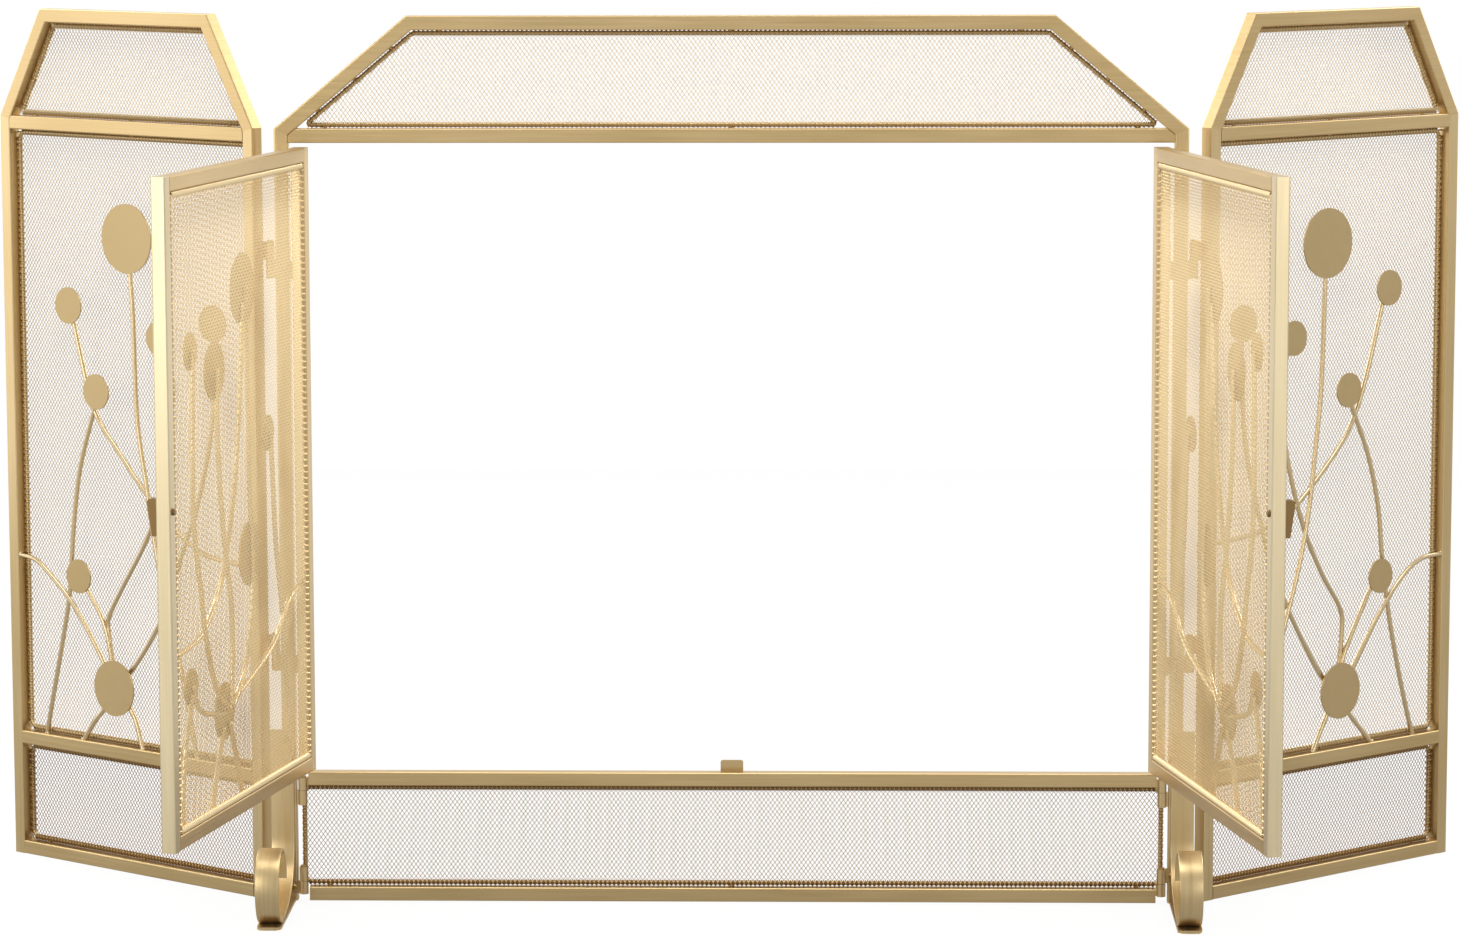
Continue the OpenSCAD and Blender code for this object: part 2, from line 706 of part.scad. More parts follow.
module foot_scroll(left) {
    outline = concat(beside(strap_path, strap_t / 2),
        [for (i = [len(strap_path) - 1:-1:0]) beside(strap_path, -strap_t / 2)[i]]);
    color(metal) difference() {
        mirror_if(left) translate([strap_x + strap_w / 2, -half_tube, 0])
            rotate([90, 0, -90]) linear_extrude(strap_w) polygon(outline);
        mirror_if(left) translate([foot_screw_x, -half_tube - strap_t, foot_screw_z])
            screw_hole(strap_t + 1);
    }
}

// A flat bar on the floor, from the post to just past the scroll, with a bevelled front edge
module foot_base(left) {
    outline = [[0, 0], [base_l, 0], [base_l, strap_t / 2], [base_l - strap_t / 2, strap_t], [0, strap_t]];
    color(metal) mirror_if(left) translate([strap_x + strap_w / 2, -half_tube, 0])
        rotate([90, 0, -90]) linear_extrude(strap_w) polygon(outline);
}

module foot_screws() {
    color(screw_gold) for (left = [true, false]) mirror_if(left)
        translate([foot_screw_x, -half_tube - strap_t, foot_screw_z])
            screw(foot_head_d, strap_t + tube_wall + screw_past);
}

// Hinges of the doors and wings. The lower knuckle of each is fixed, and the upper one moves.

module door_hinge_sockets() {
    color(metal_light) for (left = [true, false], z = hinge_zs) mirror_if(left)
        translate([door_axis.x, door_axis.y, z - hinge_h / 2])
            knuckle(knuckle_h, post_in - door_axis.x);
}

module wing_hinge_sockets() {
    color(metal_light) for (left = [true, false], z = hinge_zs) mirror_if(left)
        translate([wing_axis.x, wing_axis.y, z - hinge_h / 2])
            rotate([0, 0, 180]) knuckle(knuckle_h, wing_axis.x - half_centre);
}

module hinge_pins() {
    color(screw_gold) for (left = [true, false], z = hinge_zs, axis = [door_axis, wing_axis])
        mirror_if(left) translate([axis.x, axis.y, z - hinge_h / 2]) pin(hinge_h);
}

// Wings

wing_opening = bay(tube, wing_w - tube, kick_top, cross_low);

module wing_post(left, outer) {
    color(metal) at_wing(left) post(wing_outline, outer ? 4 : 0);
}

module wing_arch(left) {
    color(metal) at_wing(left) bent_tube(wing_outline, 1, 3);
}

module wing_rail(left, low) {
    color(metal) at_wing(left) frame_rail(wing_outline, low);
}

module wing_mesh(left) {
    color(cloth_gold) at_wing(left) {
        mesh_panel(top_opening(wing_outline, shoulder_z));
        mesh_panel(wing_opening);
        mesh_panel(bay(tube, wing_w - tube, tube, kick_low));
    }
}

module wing_stems(left) {
    color(metal_light) at_wing(left)
        stems(left ? left_wing_stems : right_wing_stems, wing_art_size, wing_opening);
}

module wing_discs(left) {
    color(metal) at_wing(left)
        discs(left ? left_wing_discs : right_wing_discs, wing_art_size, wing_opening);
}

module wing_knuckles(left) {
    color(metal_light) at_wing(left) for (z = hinge_zs)
        translate([-wing_gap / 2, wing_axis.y, z + knuckle_gap / 2])
            mirror([0, 1, 0]) knuckle(knuckle_h, wing_gap / 2);
}

// Doors

door_opening = bay(tube, door_w - tube, door_low + tube, door_high - tube);
pull_x = door_w - half_tube;
pull_screw_z = pull_z + pull_h * 0.65;

module door_hinge_stile(left) {
    color(metal) at_door(left) stile(half_tube, door_low, door_high);
}

module door_free_stile(left) {
    color(metal) at_door(left) difference() {
        stile(pull_x, door_low, door_high);
        translate([pull_x, -half_tube, pull_screw_z]) screw_hole(tube + 1);
    }
}

module door_rail(left, low) {
    color(metal) at_door(left) plain_rail(tube, door_w - tube, low);
}

module door_mesh(left) {
    color(cloth_gold) at_door(left) mesh_panel(door_opening);
}

module door_stems(left) {
    color(metal_light) at_door(left) stems(door_stems, door_art_size, door_opening);
}

module door_discs(left) {
    color(metal) at_door(left) discs(door_discs, door_art_size, door_opening);
}

// A wedge-shaped pull, held by a screw from the back of the stile
module door_pull(left) {
    depth = 5;                             // of the screw in the pull
    outline = [[0, 0], [-pull_foot, 0], [-pull_out + 0.5, pull_h - 6], [-pull_out, pull_h - 2],
        [-pull_out + 2, pull_h], [0, pull_h]];
    color(metal_dark) at_door(left) translate([pull_x, 0, 0]) {
        difference() {
            translate([-pull_w / 2, -half_tube, pull_z]) rotate([90, 0, 90])
                linear_extrude(pull_w) polygon(outline);
            translate([0, -half_tube - depth, pull_screw_z]) rotate([-90, 0, 0])
                cylinder(r = screw_d / 2 + screw_fit, h = beyond);
        }
        translate([0, half_tube, pull_screw_z]) rotate([0, 0, 180])
            screw(small_head_d, tube + depth - 0.3);
    }
}

module door_knuckles(left) {
    color(metal_light) at_door(left) for (z = hinge_zs)
        translate([-door_gap / 2, door_axis.y + door_proud, z + knuckle_gap / 2])
            knuckle(knuckle_h, door_gap / 2);
}

centre_post(true);  // centre_left_post
centre_post(false);  // centre_right_post
centre_top_arch();
centre_cross_rail();
centre_top_mesh();
kick_top_rail();
kick_bottom_rail();
kick_mesh();
kick_strip_knuckles();
kick_post_brackets();
kick_hinge_pins();
kick_bracket_screws();
door_stop_tab();
foot_scroll(true);  // left_foot_scroll
foot_scroll(false);  // right_foot_scroll
foot_base(true);  // left_foot_base
foot_base(false);  // right_foot_base
foot_screws();
door_hinge_sockets();
wing_hinge_sockets();
hinge_pins();
wing_post(true, false);  // left_wing_inner_post
wing_post(true, true);  // left_wing_outer_post
wing_arch(true);  // left_wing_top_arch
wing_rail(true, cross_low);  // left_wing_mid_rail
wing_rail(true, kick_low);  // left_wing_lower_rail
wing_rail(true, 0);  // left_wing_bottom_rail
wing_mesh(true);  // left_wing_mesh
wing_stems(true);  // left_wing_stems
wing_discs(true);  // left_wing_discs
wing_knuckles(true);  // left_wing_knuckles
wing_post(false, false);  // right_wing_inner_post
wing_post(false, true);  // right_wing_outer_post
wing_arch(false);  // right_wing_top_arch
wing_rail(false, cross_low);  // right_wing_mid_rail
wing_rail(false, kick_low);  // right_wing_lower_rail
wing_rail(false, 0);  // right_wing_bottom_rail
wing_mesh(false);  // right_wing_mesh
wing_stems(false);  // right_wing_stems
wing_discs(false);  // right_wing_discs
wing_knuckles(false);  // right_wing_knuckles
door_hinge_stile(true);  // left_door_hinge_stile
door_free_stile(true);  // left_door_free_stile
door_rail(true, door_high - tube);  // left_door_top_rail
door_rail(true, door_low);  // left_door_bottom_rail
door_mesh(true);  // left_door_mesh
door_stems(true);  // left_door_stems
door_discs(true);  // left_door_discs
door_pull(true);  // left_door_pull
door_knuckles(true);  // left_door_knuckles
door_hinge_stile(false);  // right_door_hinge_stile
door_free_stile(false);  // right_door_free_stile
door_rail(false, door_high - tube);  // right_door_top_rail
door_rail(false, door_low);  // right_door_bottom_rail
door_mesh(false);  // right_door_mesh
door_stems(false);  // right_door_stems
door_discs(false);  // right_door_discs
door_pull(false);  // right_door_pull
door_knuckles(false);  // right_door_knuckles
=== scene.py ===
# Folding fireplace screen in satin gold: woven panels, ornament, feet and finishes on its frame
import json
import math

import bmesh
import bpy
import numpy as np
from bpy.props import FloatProperty, PointerProperty, StringProperty
from mathutils import Matrix, Vector


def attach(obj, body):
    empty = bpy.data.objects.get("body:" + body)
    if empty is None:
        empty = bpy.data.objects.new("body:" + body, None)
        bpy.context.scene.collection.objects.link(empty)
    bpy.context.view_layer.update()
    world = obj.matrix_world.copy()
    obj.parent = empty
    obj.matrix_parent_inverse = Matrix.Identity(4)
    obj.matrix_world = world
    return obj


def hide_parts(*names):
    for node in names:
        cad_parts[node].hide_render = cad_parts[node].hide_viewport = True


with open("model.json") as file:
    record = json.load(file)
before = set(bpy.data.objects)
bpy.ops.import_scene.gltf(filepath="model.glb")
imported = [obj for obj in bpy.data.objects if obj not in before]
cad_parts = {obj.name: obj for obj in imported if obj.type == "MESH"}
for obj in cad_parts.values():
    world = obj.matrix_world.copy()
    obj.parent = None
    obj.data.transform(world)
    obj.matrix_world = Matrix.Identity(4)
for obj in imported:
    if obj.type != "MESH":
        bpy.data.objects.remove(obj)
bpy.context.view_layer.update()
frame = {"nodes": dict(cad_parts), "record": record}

bl_info = {
    "name": "Folding Fireplace Screen",
    "version": (1, 0, 0),
    "blender": (4, 5, 0),
    "location": "View3D > Sidebar > Fire Screen",
    "description": "Builds the woven panels, ornament, feet and finishes of a folding fireplace screen",
    "category": "Object",
}

MM = 0.001
DEPTH = np.array([0.0, 1.0, 0.0])
ACROSS = np.array([1.0, 0.0, 0.0])
SIDES = (("left", -1), ("right", 1))
JOINTS = {row["name"]: row for row in frame["record"]["behaviour"]["joints"]}

# How finely things are drawn: points round a section, and points or steps along a bend
ROD_SIDES = 12
WIRE_SIDES = 5
TURN_SIDES = 4
TURN_STEPS = 10
BALL_SIDES = 10
BALL_RINGS = 7
STEM_STEPS = 6
CORNER_POINTS = 6
EDGE_POINTS = 4
SWEEP_STEPS = 28
SCROLL_STEPS = 81

# Cloth. The first wire's place beside the middle, in diamonds; a layer's middle from the cloth's
# middle, in wire thicknesses; a turn's middle outside the rod, in its own thickness; how far a turn
# leans along the rod, in diamonds; the shortest piece of wire, in millimetres.
LINE_OFF = 0.25
LAYER_OFF = 0.42
TURN_OFF = 0.3
TURN_LEAN = 0.16
SHORTEST = 2.0
FAR = 1e9

# Welds. A ball's poles are cut flat by this angle. A bead's middle lies in the gap at this share of
# it; its radii are in millimetres, those of a stem's weld in radii of the stem.
POLE_CUT = 0.12
BEAD_OFF = 0.7
BEAD_RADII = (2.3, 1.5, 1.5)
WELD_RADII = (1.5, 0.9, 1.02)

# Feet. Where the strap's straight part ends, in heights of the bend; how near the bend's two inner
# points lie to its corner, as a share; and the rounded edges and corners, in millimetres.
STRAP_END = 1.2
STRAP_PULL = 0.4
STRAP_ROUND = 0.7
BAR_CORNER = 4.0
BAR_EDGE = 0.4

# Brushed metal. Scales of the streaks along X, Y and Z, per metre, by the way that they run.
STREAKS_UP = (600, 600, 10)
STREAKS_LEVEL = (10, 10, 600)
STREAKS_NONE = (160, 160, 160)
STREAKS_STRAP = (900, 12, 12)
GRAIN_DETAIL = 3.0
CLOUD_SCALE = 6.0
CLOUD_DETAIL = 1.0
TONE_SPAN = (0.7, 1.3)
GRAIN_SPAN = (0.3, 0.7)
SMOOTHER = 0.04
ROUGHER = 0.05
BUMP_DEPTH = 0.0002
LACQUER_ROUGHNESS = 0.15

# Stage, in metres, watts and degrees. A lamp is its name, place, target, size and power. A span
# says between which places metal sees the floor or the world brighten.
FLOOR = [(-6, -7, 0), (6, -7, 0), (6, 3, 0), (-6, 3, 0)]
FLOOR_PAINT = (0.9, 0.9, 0.9, 1.0)
FLOOR_SHOWN = 0.92
FLOOR_SPAN = (0.0, 1.6)
# The floor's glow as metal sees it, near the screen and further off: painted shade of the screen
FLOOR_SHADE_IN_METAL = (0.45, 0.9)
WORLD_LIGHT = 0.7
WORLD_SPAN = (-0.8, 0.5)
WORLD_IN_METAL = (0.62, 1.0)
WHITE = (1.0, 1.0, 1.0, 1.0)
LAMPS = (
    ("left", (-2.3, -3.3, 1.3), (-0.4, -0.2, 0.5), (1.1, 2.0), 32),
    ("side left", (-3.0, 0.1, 0.8), (-0.6, 0.0, 0.45), (2.0, 1.8), 11),
    ("right", (2.2, -3.6, 1.2), (0.4, -0.2, 0.5), (0.8, 1.6), 16),
    ("top", (0.0, -0.6, 2.6), (0.0, 0.0, 0.4), (2.4, 1.0), 26),
    ("rim left", (-2.1, 1.6, 1.7), (-0.3, -0.1, 0.5), (1.2, 1.8), 40),
    ("rim right", (2.1, 1.6, 1.7), (0.3, -0.1, 0.5), (1.2, 1.8), 40),
)
CAMERA_PLACE = (0.1056, -4.3765, 0.9738)
CAMERA_SWING, CAMERA_TILT, CAMERA_ROLL = 1.39, 82.47, -0.11
LENS_MM = 121.4
SENSOR_MM = 36.0

# The ornament, in millimetres. A stem is its layer at each end, 0 in front and 1 behind, and the
# points that it runs through, from the opening's lower corner at the hinge side.
LEFT_WING_STEMS = [
    (0, 0, [(151, 474), (150, 441), (147, 400), (144, 309), (134, 252), (128, 217), (114, 152),
            (99, 106), (84, 51), (72, -4)]),
    (0, 1, [(230, 408), (218, 362), (201, 311), (171, 276), (135, 239), (97, 208), (57, 189),
            (-4, 184)]),
    (0, 1, [(111, 385), (97, 348), (100, 311), (108, 270), (118, 238), (136, 197), (171, 147),
            (188, 121), (190, 105), (182, 60)]),
    (0, 1, [(195, 330), (202, 311), (222, 257), (233, 200), (240, 140), (252, 90), (270, 24),
            (277, -4)]),
    (0, 0, [(309, 168), (285, 165), (268, 155), (234, 127), (204, 90), (184, 60)]),
    (0, 0, [(223, 155), (214, 142), (191, 109), (180, 60)]),
    (0, 1, [(41, 403), (44, 341), (51, 292), (70, 230), (85, 199), (116, 130), (145, 89),
            (172, 60)]),
    (0, 0, [(187, 46), (195, 32), (208, 19), (226, -4)]),
    (0, 0, [(168, 46), (158, 34), (152, 24), (143, -4)]),
]
RIGHT_WING_STEMS = [
    (0, 0, [(141, 470), (141, 439), (138, 344), (132, 289), (123, 225), (110, 172), (90, 113),
            (77, 56), (66, -4)]),
    (0, 1, [(225, 424), (219, 408), (198, 340), (177, 296), (146, 263), (109, 232), (91, 223),
            (57, 211), (-4, 206)]),
    (0, 1, [(98, 386), (85, 348), (87, 311), (100, 259), (120, 207), (145, 164), (170, 130),
            (173, 106), (168, 60)]),
    (0, 1, [(172, 333), (182, 313), (204, 269), (219, 220), (226, 172), (238, 113), (255, 53),
            (274, -4)]),
    (0, 0, [(309, 168), (278, 166), (250, 150), (217, 115), (186, 74), (174, 60)]),
    (0, 0, [(219, 156), (207, 143), (194, 122), (173, 86), (168, 60)]),
    (0, 1, [(31, 404), (34, 341), (41, 286), (59, 226), (82, 167), (114, 114), (144, 72),
            (158, 58)]),
    (0, 0, [(157, 43), (149, 29), (136, 6), (131, -4)]),
    (0, 0, [(174, 41), (182, 30), (210, 2), (215, -4)]),
]
DOOR_STEMS = [
    (0, 1, [(277, 396), (281, 329), (284, 279), (281, 236), (270, 193), (259, 148), (237, 103),
            (207, 82)]),
    (0, 1, [(216, 373), (218, 321), (213, 263), (205, 216), (194, 173), (193, 133), (200, 85)]),
    (0, 0, [(139, 436), (136, 343), (134, 263), (129, 204)]),
    (0, 0, [(75, 303), (71, 268), (64, 203), (51, 150), (42, 94), (33, 53), (27, -4)]),
    (0, 1, [(129, 204), (137, 153), (159, 108), (196, 82)]),
    (0, 0, [(147, 423), (159, 333), (180, 253), (212, 193), (249, 163), (287, 150), (359, 146)]),
    (0, 0, [(287, 113), (272, 91), (227, 80), (208, 78)]),
    (0, 1, [(190, 84), (137, 98), (77, 118), (37, 150), (-4, 160)]),
    (0, 0, [(195, 66), (177, 28), (165, -4)]),
    (0, 0, [(212, 64), (232, 28), (248, -4)]),
    (0, 0, [(291, 106), (312, 58), (322, -4)]),
]


class ScreenSizes(bpy.types.PropertyGroup):
    """Sizes of the fireplace screen, in millimetres"""
    centre_w: FloatProperty(name="Centre width", description="Over the centre posts", default=812.8)
    screen_h: FloatProperty(name="Height", description="Of the whole screen", default=800.0)
    centre_top_w: FloatProperty(name="Top rail width", description="Of the centre frame", default=576.0)
    shoulder_z: FloatProperty(name="Shoulder height", description="Top of the cross rail", default=700.0)
    kick_top: FloatProperty(name="Kick rail height", description="Top of the kick rail", default=118.7)
    wing_w: FloatProperty(name="Wing width", description="Over a wing's posts", default=330.2)
    wing_cut: FloatProperty(name="Wing corner", description="Cut at a wing's top corner", default=56.0)
    tube: FloatProperty(name="Tube", description="Side of the square tube", default=12.7)
    wing_gap: FloatProperty(name="Wing gap", description="Between wing and centre post", default=12.0)
    door_gap: FloatProperty(name="Door gap", description="Between door and centre post", default=14.0)
    kick_axis_in: FloatProperty(name="Kick hinge", description="From the post's inner side", default=6.0)
    door_meet: FloatProperty(name="Middle gap", description="Between closed doors", default=3.0)
    door_top_gap: FloatProperty(name="Gap over a door", description="Above a closed door", default=2.8)
    door_bottom_gap: FloatProperty(name="Gap under a door", description="Below it", default=5.1)
    door_proud: FloatProperty(name="Door step", description="Door in front of the frame", default=0.4)
    rod_d: FloatProperty(name="Rod", description="Diameter of the rod round a panel", default=3.8)
    rod_gap: FloatProperty(name="Rod gap", description="Between rod and tube", default=1.0)
    rod_round: FloatProperty(name="Rod corner", description="Bend radius at its middle", default=7.0)
    rod_y: FloatProperty(name="Rod depth", description="Behind the tube's middle", default=4.05)
    bead_in: FloatProperty(name="Weld place", description="From the ends of a side", default=25.0)
    wire_d: FloatProperty(name="Wire", description="Diameter of the woven wire", default=0.55)
    turn_d: FloatProperty(name="Wire turn", description="Wire wound round the rod", default=1.15)
    weave_w: FloatProperty(name="Weave width", description="Width of a diamond", default=4.0)
    weave_h: FloatProperty(name="Weave height", description="Height of a diamond", default=5.5)
    stem_d: FloatProperty(name="Stem", description="Diameter of an ornament stem", default=4.5)
    stem_front: FloatProperty(name="Front stems", description="Behind the front face", default=2.9)
    stem_back: FloatProperty(name="Back stems", description="Behind the front face", default=6.2)
    strap_w: FloatProperty(name="Strap width", description="Of a foot", default=21.0)
    strap_t: FloatProperty(name="Strap thickness", description="Of a foot", default=3.0)
    strap_in: FloatProperty(name="Strap place", description="From the post's inner side", default=12.5)
    strap_top: FloatProperty(name="Strap top", description="Height of its top end", default=158.0)
    strap_leave: FloatProperty(name="Strap bend", description="Where it leaves the post", default=60.0)
    scroll_reach: FloatProperty(name="Scroll place", description="In front of the post", default=100.0)
    scroll_d: FloatProperty(name="Scroll", description="Outside diameter", default=66.0)
    scroll_lift: FloatProperty(name="Scroll gap", description="Over the base bar", default=0.05)
    base_l: FloatProperty(name="Base bar", description="Length on the floor", default=122.0)


class ScreenColours(bpy.types.PropertyGroup):
    """Colours of the screen's finishes, as sRGB hex"""
    # Upright tubes: painted sheen, paler than level tubes
    upright_light: StringProperty(name="Upright, light", description="Light streaks", default="#D8C092")
    upright_dark: StringProperty(name="Upright, dark", description="Dark streaks", default="#CAB07F")
    # Free stiles: painted highlight, the palest and greyest tubes
    free_light: StringProperty(name="Free stile, light", description="Light streaks", default="#D9C9A5")
    free_dark: StringProperty(name="Free stile, dark", description="Dark streaks", default="#D0BF9A")
    # Level tubes: painted shade, darker than upright tubes
    level_light: StringProperty(name="Level, light", description="Light streaks", default="#D2B888")
    level_dark: StringProperty(name="Level, dark", description="Dark streaks", default="#C3A876")
    disc_light: StringProperty(name="Disc, light", description="Ground face, light", default="#C6AE81")
    disc_dark: StringProperty(name="Disc, dark", description="Ground face, dark", default="#BEA678")
    # Door discs: painted shade, darker than the wings' discs
    door_disc_light: StringProperty(name="Door disc, light", description="Ground face", default="#B69E72")
    door_disc_dark: StringProperty(name="Door disc, dark", description="Ground face", default="#AC9468")
    rod: StringProperty(name="Rod", description="Rods round the cloth", default="#BFA67A")
    wire: StringProperty(name="Wire", description="Cloth of the top and the wings", default="#C9B38A")
    # Cloth near the floor: painted shade, darker than the other cloth
    low_wire: StringProperty(name="Low wire", description="Cloth near the floor", default="#98784C")
    # Doors' cloth: painted sheen, brighter than the other cloth
    door_wire: StringProperty(name="Door wire", description="Cloth of the doors", default="#F2DBAE")
    stem: StringProperty(name="Stem", description="Ornament stems", default="#D4BD92")
    strap_light: StringProperty(name="Foot, light", description="Light streaks", default="#D6BE90")
    strap_dark: StringProperty(name="Foot, dark", description="Dark streaks", default="#C3AB7C")
    hardware: StringProperty(name="Hardware", description="Hinges and stop tab", default="#CDB384")
    # Pulls: painted shade, darker than the other hardware
    pull: StringProperty(name="Pulls", description="Door pulls", default="#7D6440")
    screw: StringProperty(name="Screws", description="Pins and screws", default="#C3A263")


def linear(code):
    """An sRGB hex value as linear red, green, blue and alpha, by the sRGB curve."""
    parts = [int(code[i:i + 2], 16) / 255 for i in (1, 3, 5)]
    return tuple(c / 12.92 if c <= 0.04045 else ((c + 0.055) / 1.055) ** 2.4 for c in parts) + (1.0,)


# Surfaces

class Skin:
    """Gathers grids of points into one mesh of quads and end caps. Each block of faces takes the
    finish that is in hand when it is added."""

    def __init__(self, finish):
        self.points = []
        self.faces = []
        self.finishes = []
        self.finish = finish
        self.count = 0

    def grids(self, points, wrap_rows=False):
        """Copies x rows x columns x 3 points, of which each row is a closed section. Neighbours are
        joined, and the last row goes on to the first one, or else both are closed by a cap."""
        index = self.count + np.arange(points[..., 0].size).reshape(points.shape[:3])
        self.points.append(points.reshape(-1, 3))
        self.count += index.size
        here = index if wrap_rows else index[:, :-1]
        following = np.roll(index, -1, axis=1) if wrap_rows else index[:, 1:]
        corners = [here, np.roll(here, -1, axis=2), np.roll(following, -1, axis=2), following]
        self.faces.append(np.stack(corners, axis=-1).reshape(-1, 4))
        if not wrap_rows:
            self.faces.append(index[:, 0])
            self.faces.append(index[:, -1, ::-1])
        self.finishes += [self.finish] * (len(self.faces) - len(self.finishes))

    def piece(self, name, body, replaced, smooth_angle=40.0):
        """Makes the mesh object, points its faces outwards and lets it ride on its body."""
        points = np.concatenate(self.points) * MM
        loops = np.concatenate([f.reshape(-1) for f in self.faces])
        totals = np.concatenate([np.full(len(f), f.shape[1]) for f in self.faces])
        mesh = bpy.data.meshes.new(name)
        mesh.vertices.add(len(points))
        mesh.vertices.foreach_set("co", points.astype(np.float32).reshape(-1))
        mesh.loops.add(len(loops))
        mesh.loops.foreach_set("vertex_index", loops.astype(np.int32))
        mesh.polygons.add(len(totals))
        mesh.polygons.foreach_set("loop_start", (np.cumsum(totals) - totals).astype(np.int32))
        mesh.update(calc_edges=True)
        mesh.validate()
        work = bmesh.new()
        work.from_mesh(mesh)
        bmesh.ops.recalc_face_normals(work, faces=work.faces)
        work.to_mesh(mesh)
        work.free()
        mesh.polygons.foreach_set("use_smooth", np.ones(len(mesh.polygons), dtype=bool))
        mesh.set_sharp_from_angle(angle=math.radians(smooth_angle))
        used = sorted(set(self.finishes))
        for finish in used:
            mesh.materials.append(bpy.data.materials[finish])
        order = [np.full(len(f), used.index(k)) for f, k in zip(self.faces, self.finishes)]
        mesh.polygons.foreach_set("material_index", np.concatenate(order).astype(np.int32))
        obj = bpy.data.objects.new(name, mesh)
        bpy.context.scene.collection.objects.link(obj)
        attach(obj, body)
        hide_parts(*replaced)


def unit(v):
    """The same direction at length 1."""
    return v / np.linalg.norm(v, axis=-1, keepdims=True)


def sweep(path, profile, normal, closed=False):
    """A profile carried along a path: each point is the path's point, plus the profile's first
    number times the sideways direction, plus its second times the normal, squared to the path."""
    if closed:
        along = np.roll(path, -1, axis=0) - np.roll(path, 1, axis=0)
    else:
        along = np.gradient(path, axis=0)
    along = unit(along)
    side = unit(np.cross(along, normal))
    rise = np.cross(side, along)
    return (path[:, None] + profile[None, :, 0, None] * side[:, None]
            + profile[None, :, 1, None] * rise[:, None])[None]


def ring(radius, sides):
    """Points of a circle."""
    angle = np.arange(sides) * 2 * math.pi / sides
    return radius * np.stack([np.cos(angle), np.sin(angle)], axis=1)


def rounded_box(width, height, radius):
    """Points of a rectangle whose corners are arcs."""
    angle = np.linspace(0, math.pi / 2, EDGE_POINTS)
    arc = radius * np.stack([np.cos(angle), np.sin(angle)], axis=1)
    corner = np.array([width / 2 - radius, height / 2 - radius])
    points = []
    for (c, s), way in (((1, 0), (1, 1)), ((0, 1), (-1, 1)), ((-1, 0), (-1, -1)), ((0, -1), (1, -1))):
        turned = np.stack([arc[:, 0] * c - arc[:, 1] * s, arc[:, 0] * s + arc[:, 1] * c], axis=1)
        points.append(turned + corner * way)
    return np.concatenate(points)


def smooth_curve(points, steps):
    """A curve through all the points: each span is the cubic whose slope at a point is half the
    step from the point before to the point after."""
    p = np.asarray(points, dtype=float)
    before = np.concatenate([p[:1], p[:-2]])
    after = np.concatenate([p[2:], p[-1:]])
    a, b, c, d = before[:, None], p[:-1, None], p[1:, None], after[:, None]
    t = (np.arange(steps) / steps)[None, :, None]
    spans = 0.5 * (2 * b + (c - a) * t + (2 * a - 5 * b + 4 * c - d) * t ** 2
                   + (3 * b - a - 3 * c + d) * t ** 3)
    return np.concatenate([spans.reshape(-1, p.shape[1]), p[-1:]])


def blobs(centres, radii, axes):
    """Ellipsoids: each is a sphere's grid of rings, stretched along three axes."""
    pole = math.pi / 2 - POLE_CUT
    lat = np.linspace(-pole, pole, BALL_RINGS)
    flat = ring(1.0, BALL_SIDES)
    ball = np.concatenate([np.cos(lat)[:, None, None] * flat,
                           np.repeat(np.sin(lat), BALL_SIDES).reshape(BALL_RINGS, -1, 1)], axis=-1)
    return centres[:, None, None] + np.einsum("rck,nkx->nrcx", ball * radii, axes)


# Outlines, as X and Z in millimetres, clockwise as seen from the front

def right_of(step):
    """The direction at a right angle to a step, on its right."""
    d = unit(step)
    return np.stack([d[..., 1], -d[..., 0]], axis=-1)


def inset(loop, distance):
    """Moves every side of a closed loop inwards, with its corners kept sharp."""
    before = right_of(loop - np.roll(loop, 1, axis=0))
    after = right_of(np.roll(loop, -1, axis=0) - loop)
    middle = unit(before + after)
    return loop + distance * middle / np.sum(middle * before, axis=1, keepdims=True)


def round_corners(loop, radius):
    """Turns each corner of a loop into an arc that touches both of its sides. A sharp corner's arc
    is tighter, so that it is cut back no further than a square one."""
    u = unit(np.roll(loop, 1, axis=0) - loop)
    v = unit(np.roll(loop, -1, axis=0) - loop)
    half = np.arccos(np.clip(np.sum(u * v, axis=1), -1, 1)) / 2
    bend = radius * np.minimum(1, (math.sqrt(2) - 1) * np.sin(half) / (1 - np.sin(half)))
    centre = loop + unit(u + v) * (bend / np.sin(half))[:, None]
    first = loop + u * (bend / np.tan(half))[:, None] - centre
    way = np.sign(first[:, 1] * u[:, 0] - first[:, 0] * u[:, 1])
    angle = ((math.pi - 2 * half) * way)[:, None] * np.linspace(0, 1, CORNER_POINTS)
    c, s = np.cos(angle), np.sin(angle)
    arc = np.stack([first[:, None, 0] * c - first[:, None, 1] * s,
                    first[:, None, 0] * s + first[:, None, 1] * c], axis=-1)
    return (centre[:, None] + arc).reshape(-1, 2)


def box_loop(x0, x1, z0, z1):
    """A rectangle's corners."""
    return np.array([(x0, z0), (x0, z1), (x1, z1), (x1, z0)], dtype=float)


def at_height(a, b, z):
    """The point at a height on the line through two others."""
    return a + (b - a) * (z - a[1]) / (b[1] - a[1])


def top_opening(outline, tube, z):
    """The opening above a cross rail, in a frame whose outline runs over its top."""
    inner = inset(np.asarray(outline, dtype=float), tube)
    return np.array([at_height(inner[1], inner[2], z), inner[2], inner[3],
                     at_height(inner[4], inner[3], z)])


def with_depth(flat, y):
    """Points of the X-Z plane at a depth."""
    return np.stack([flat[..., 0], np.broadcast_to(y, flat.shape[:-1]), flat[..., 1]], axis=-1)


# Places. Each is a turn about a hinge and a shift, in millimetres, as its body rests.

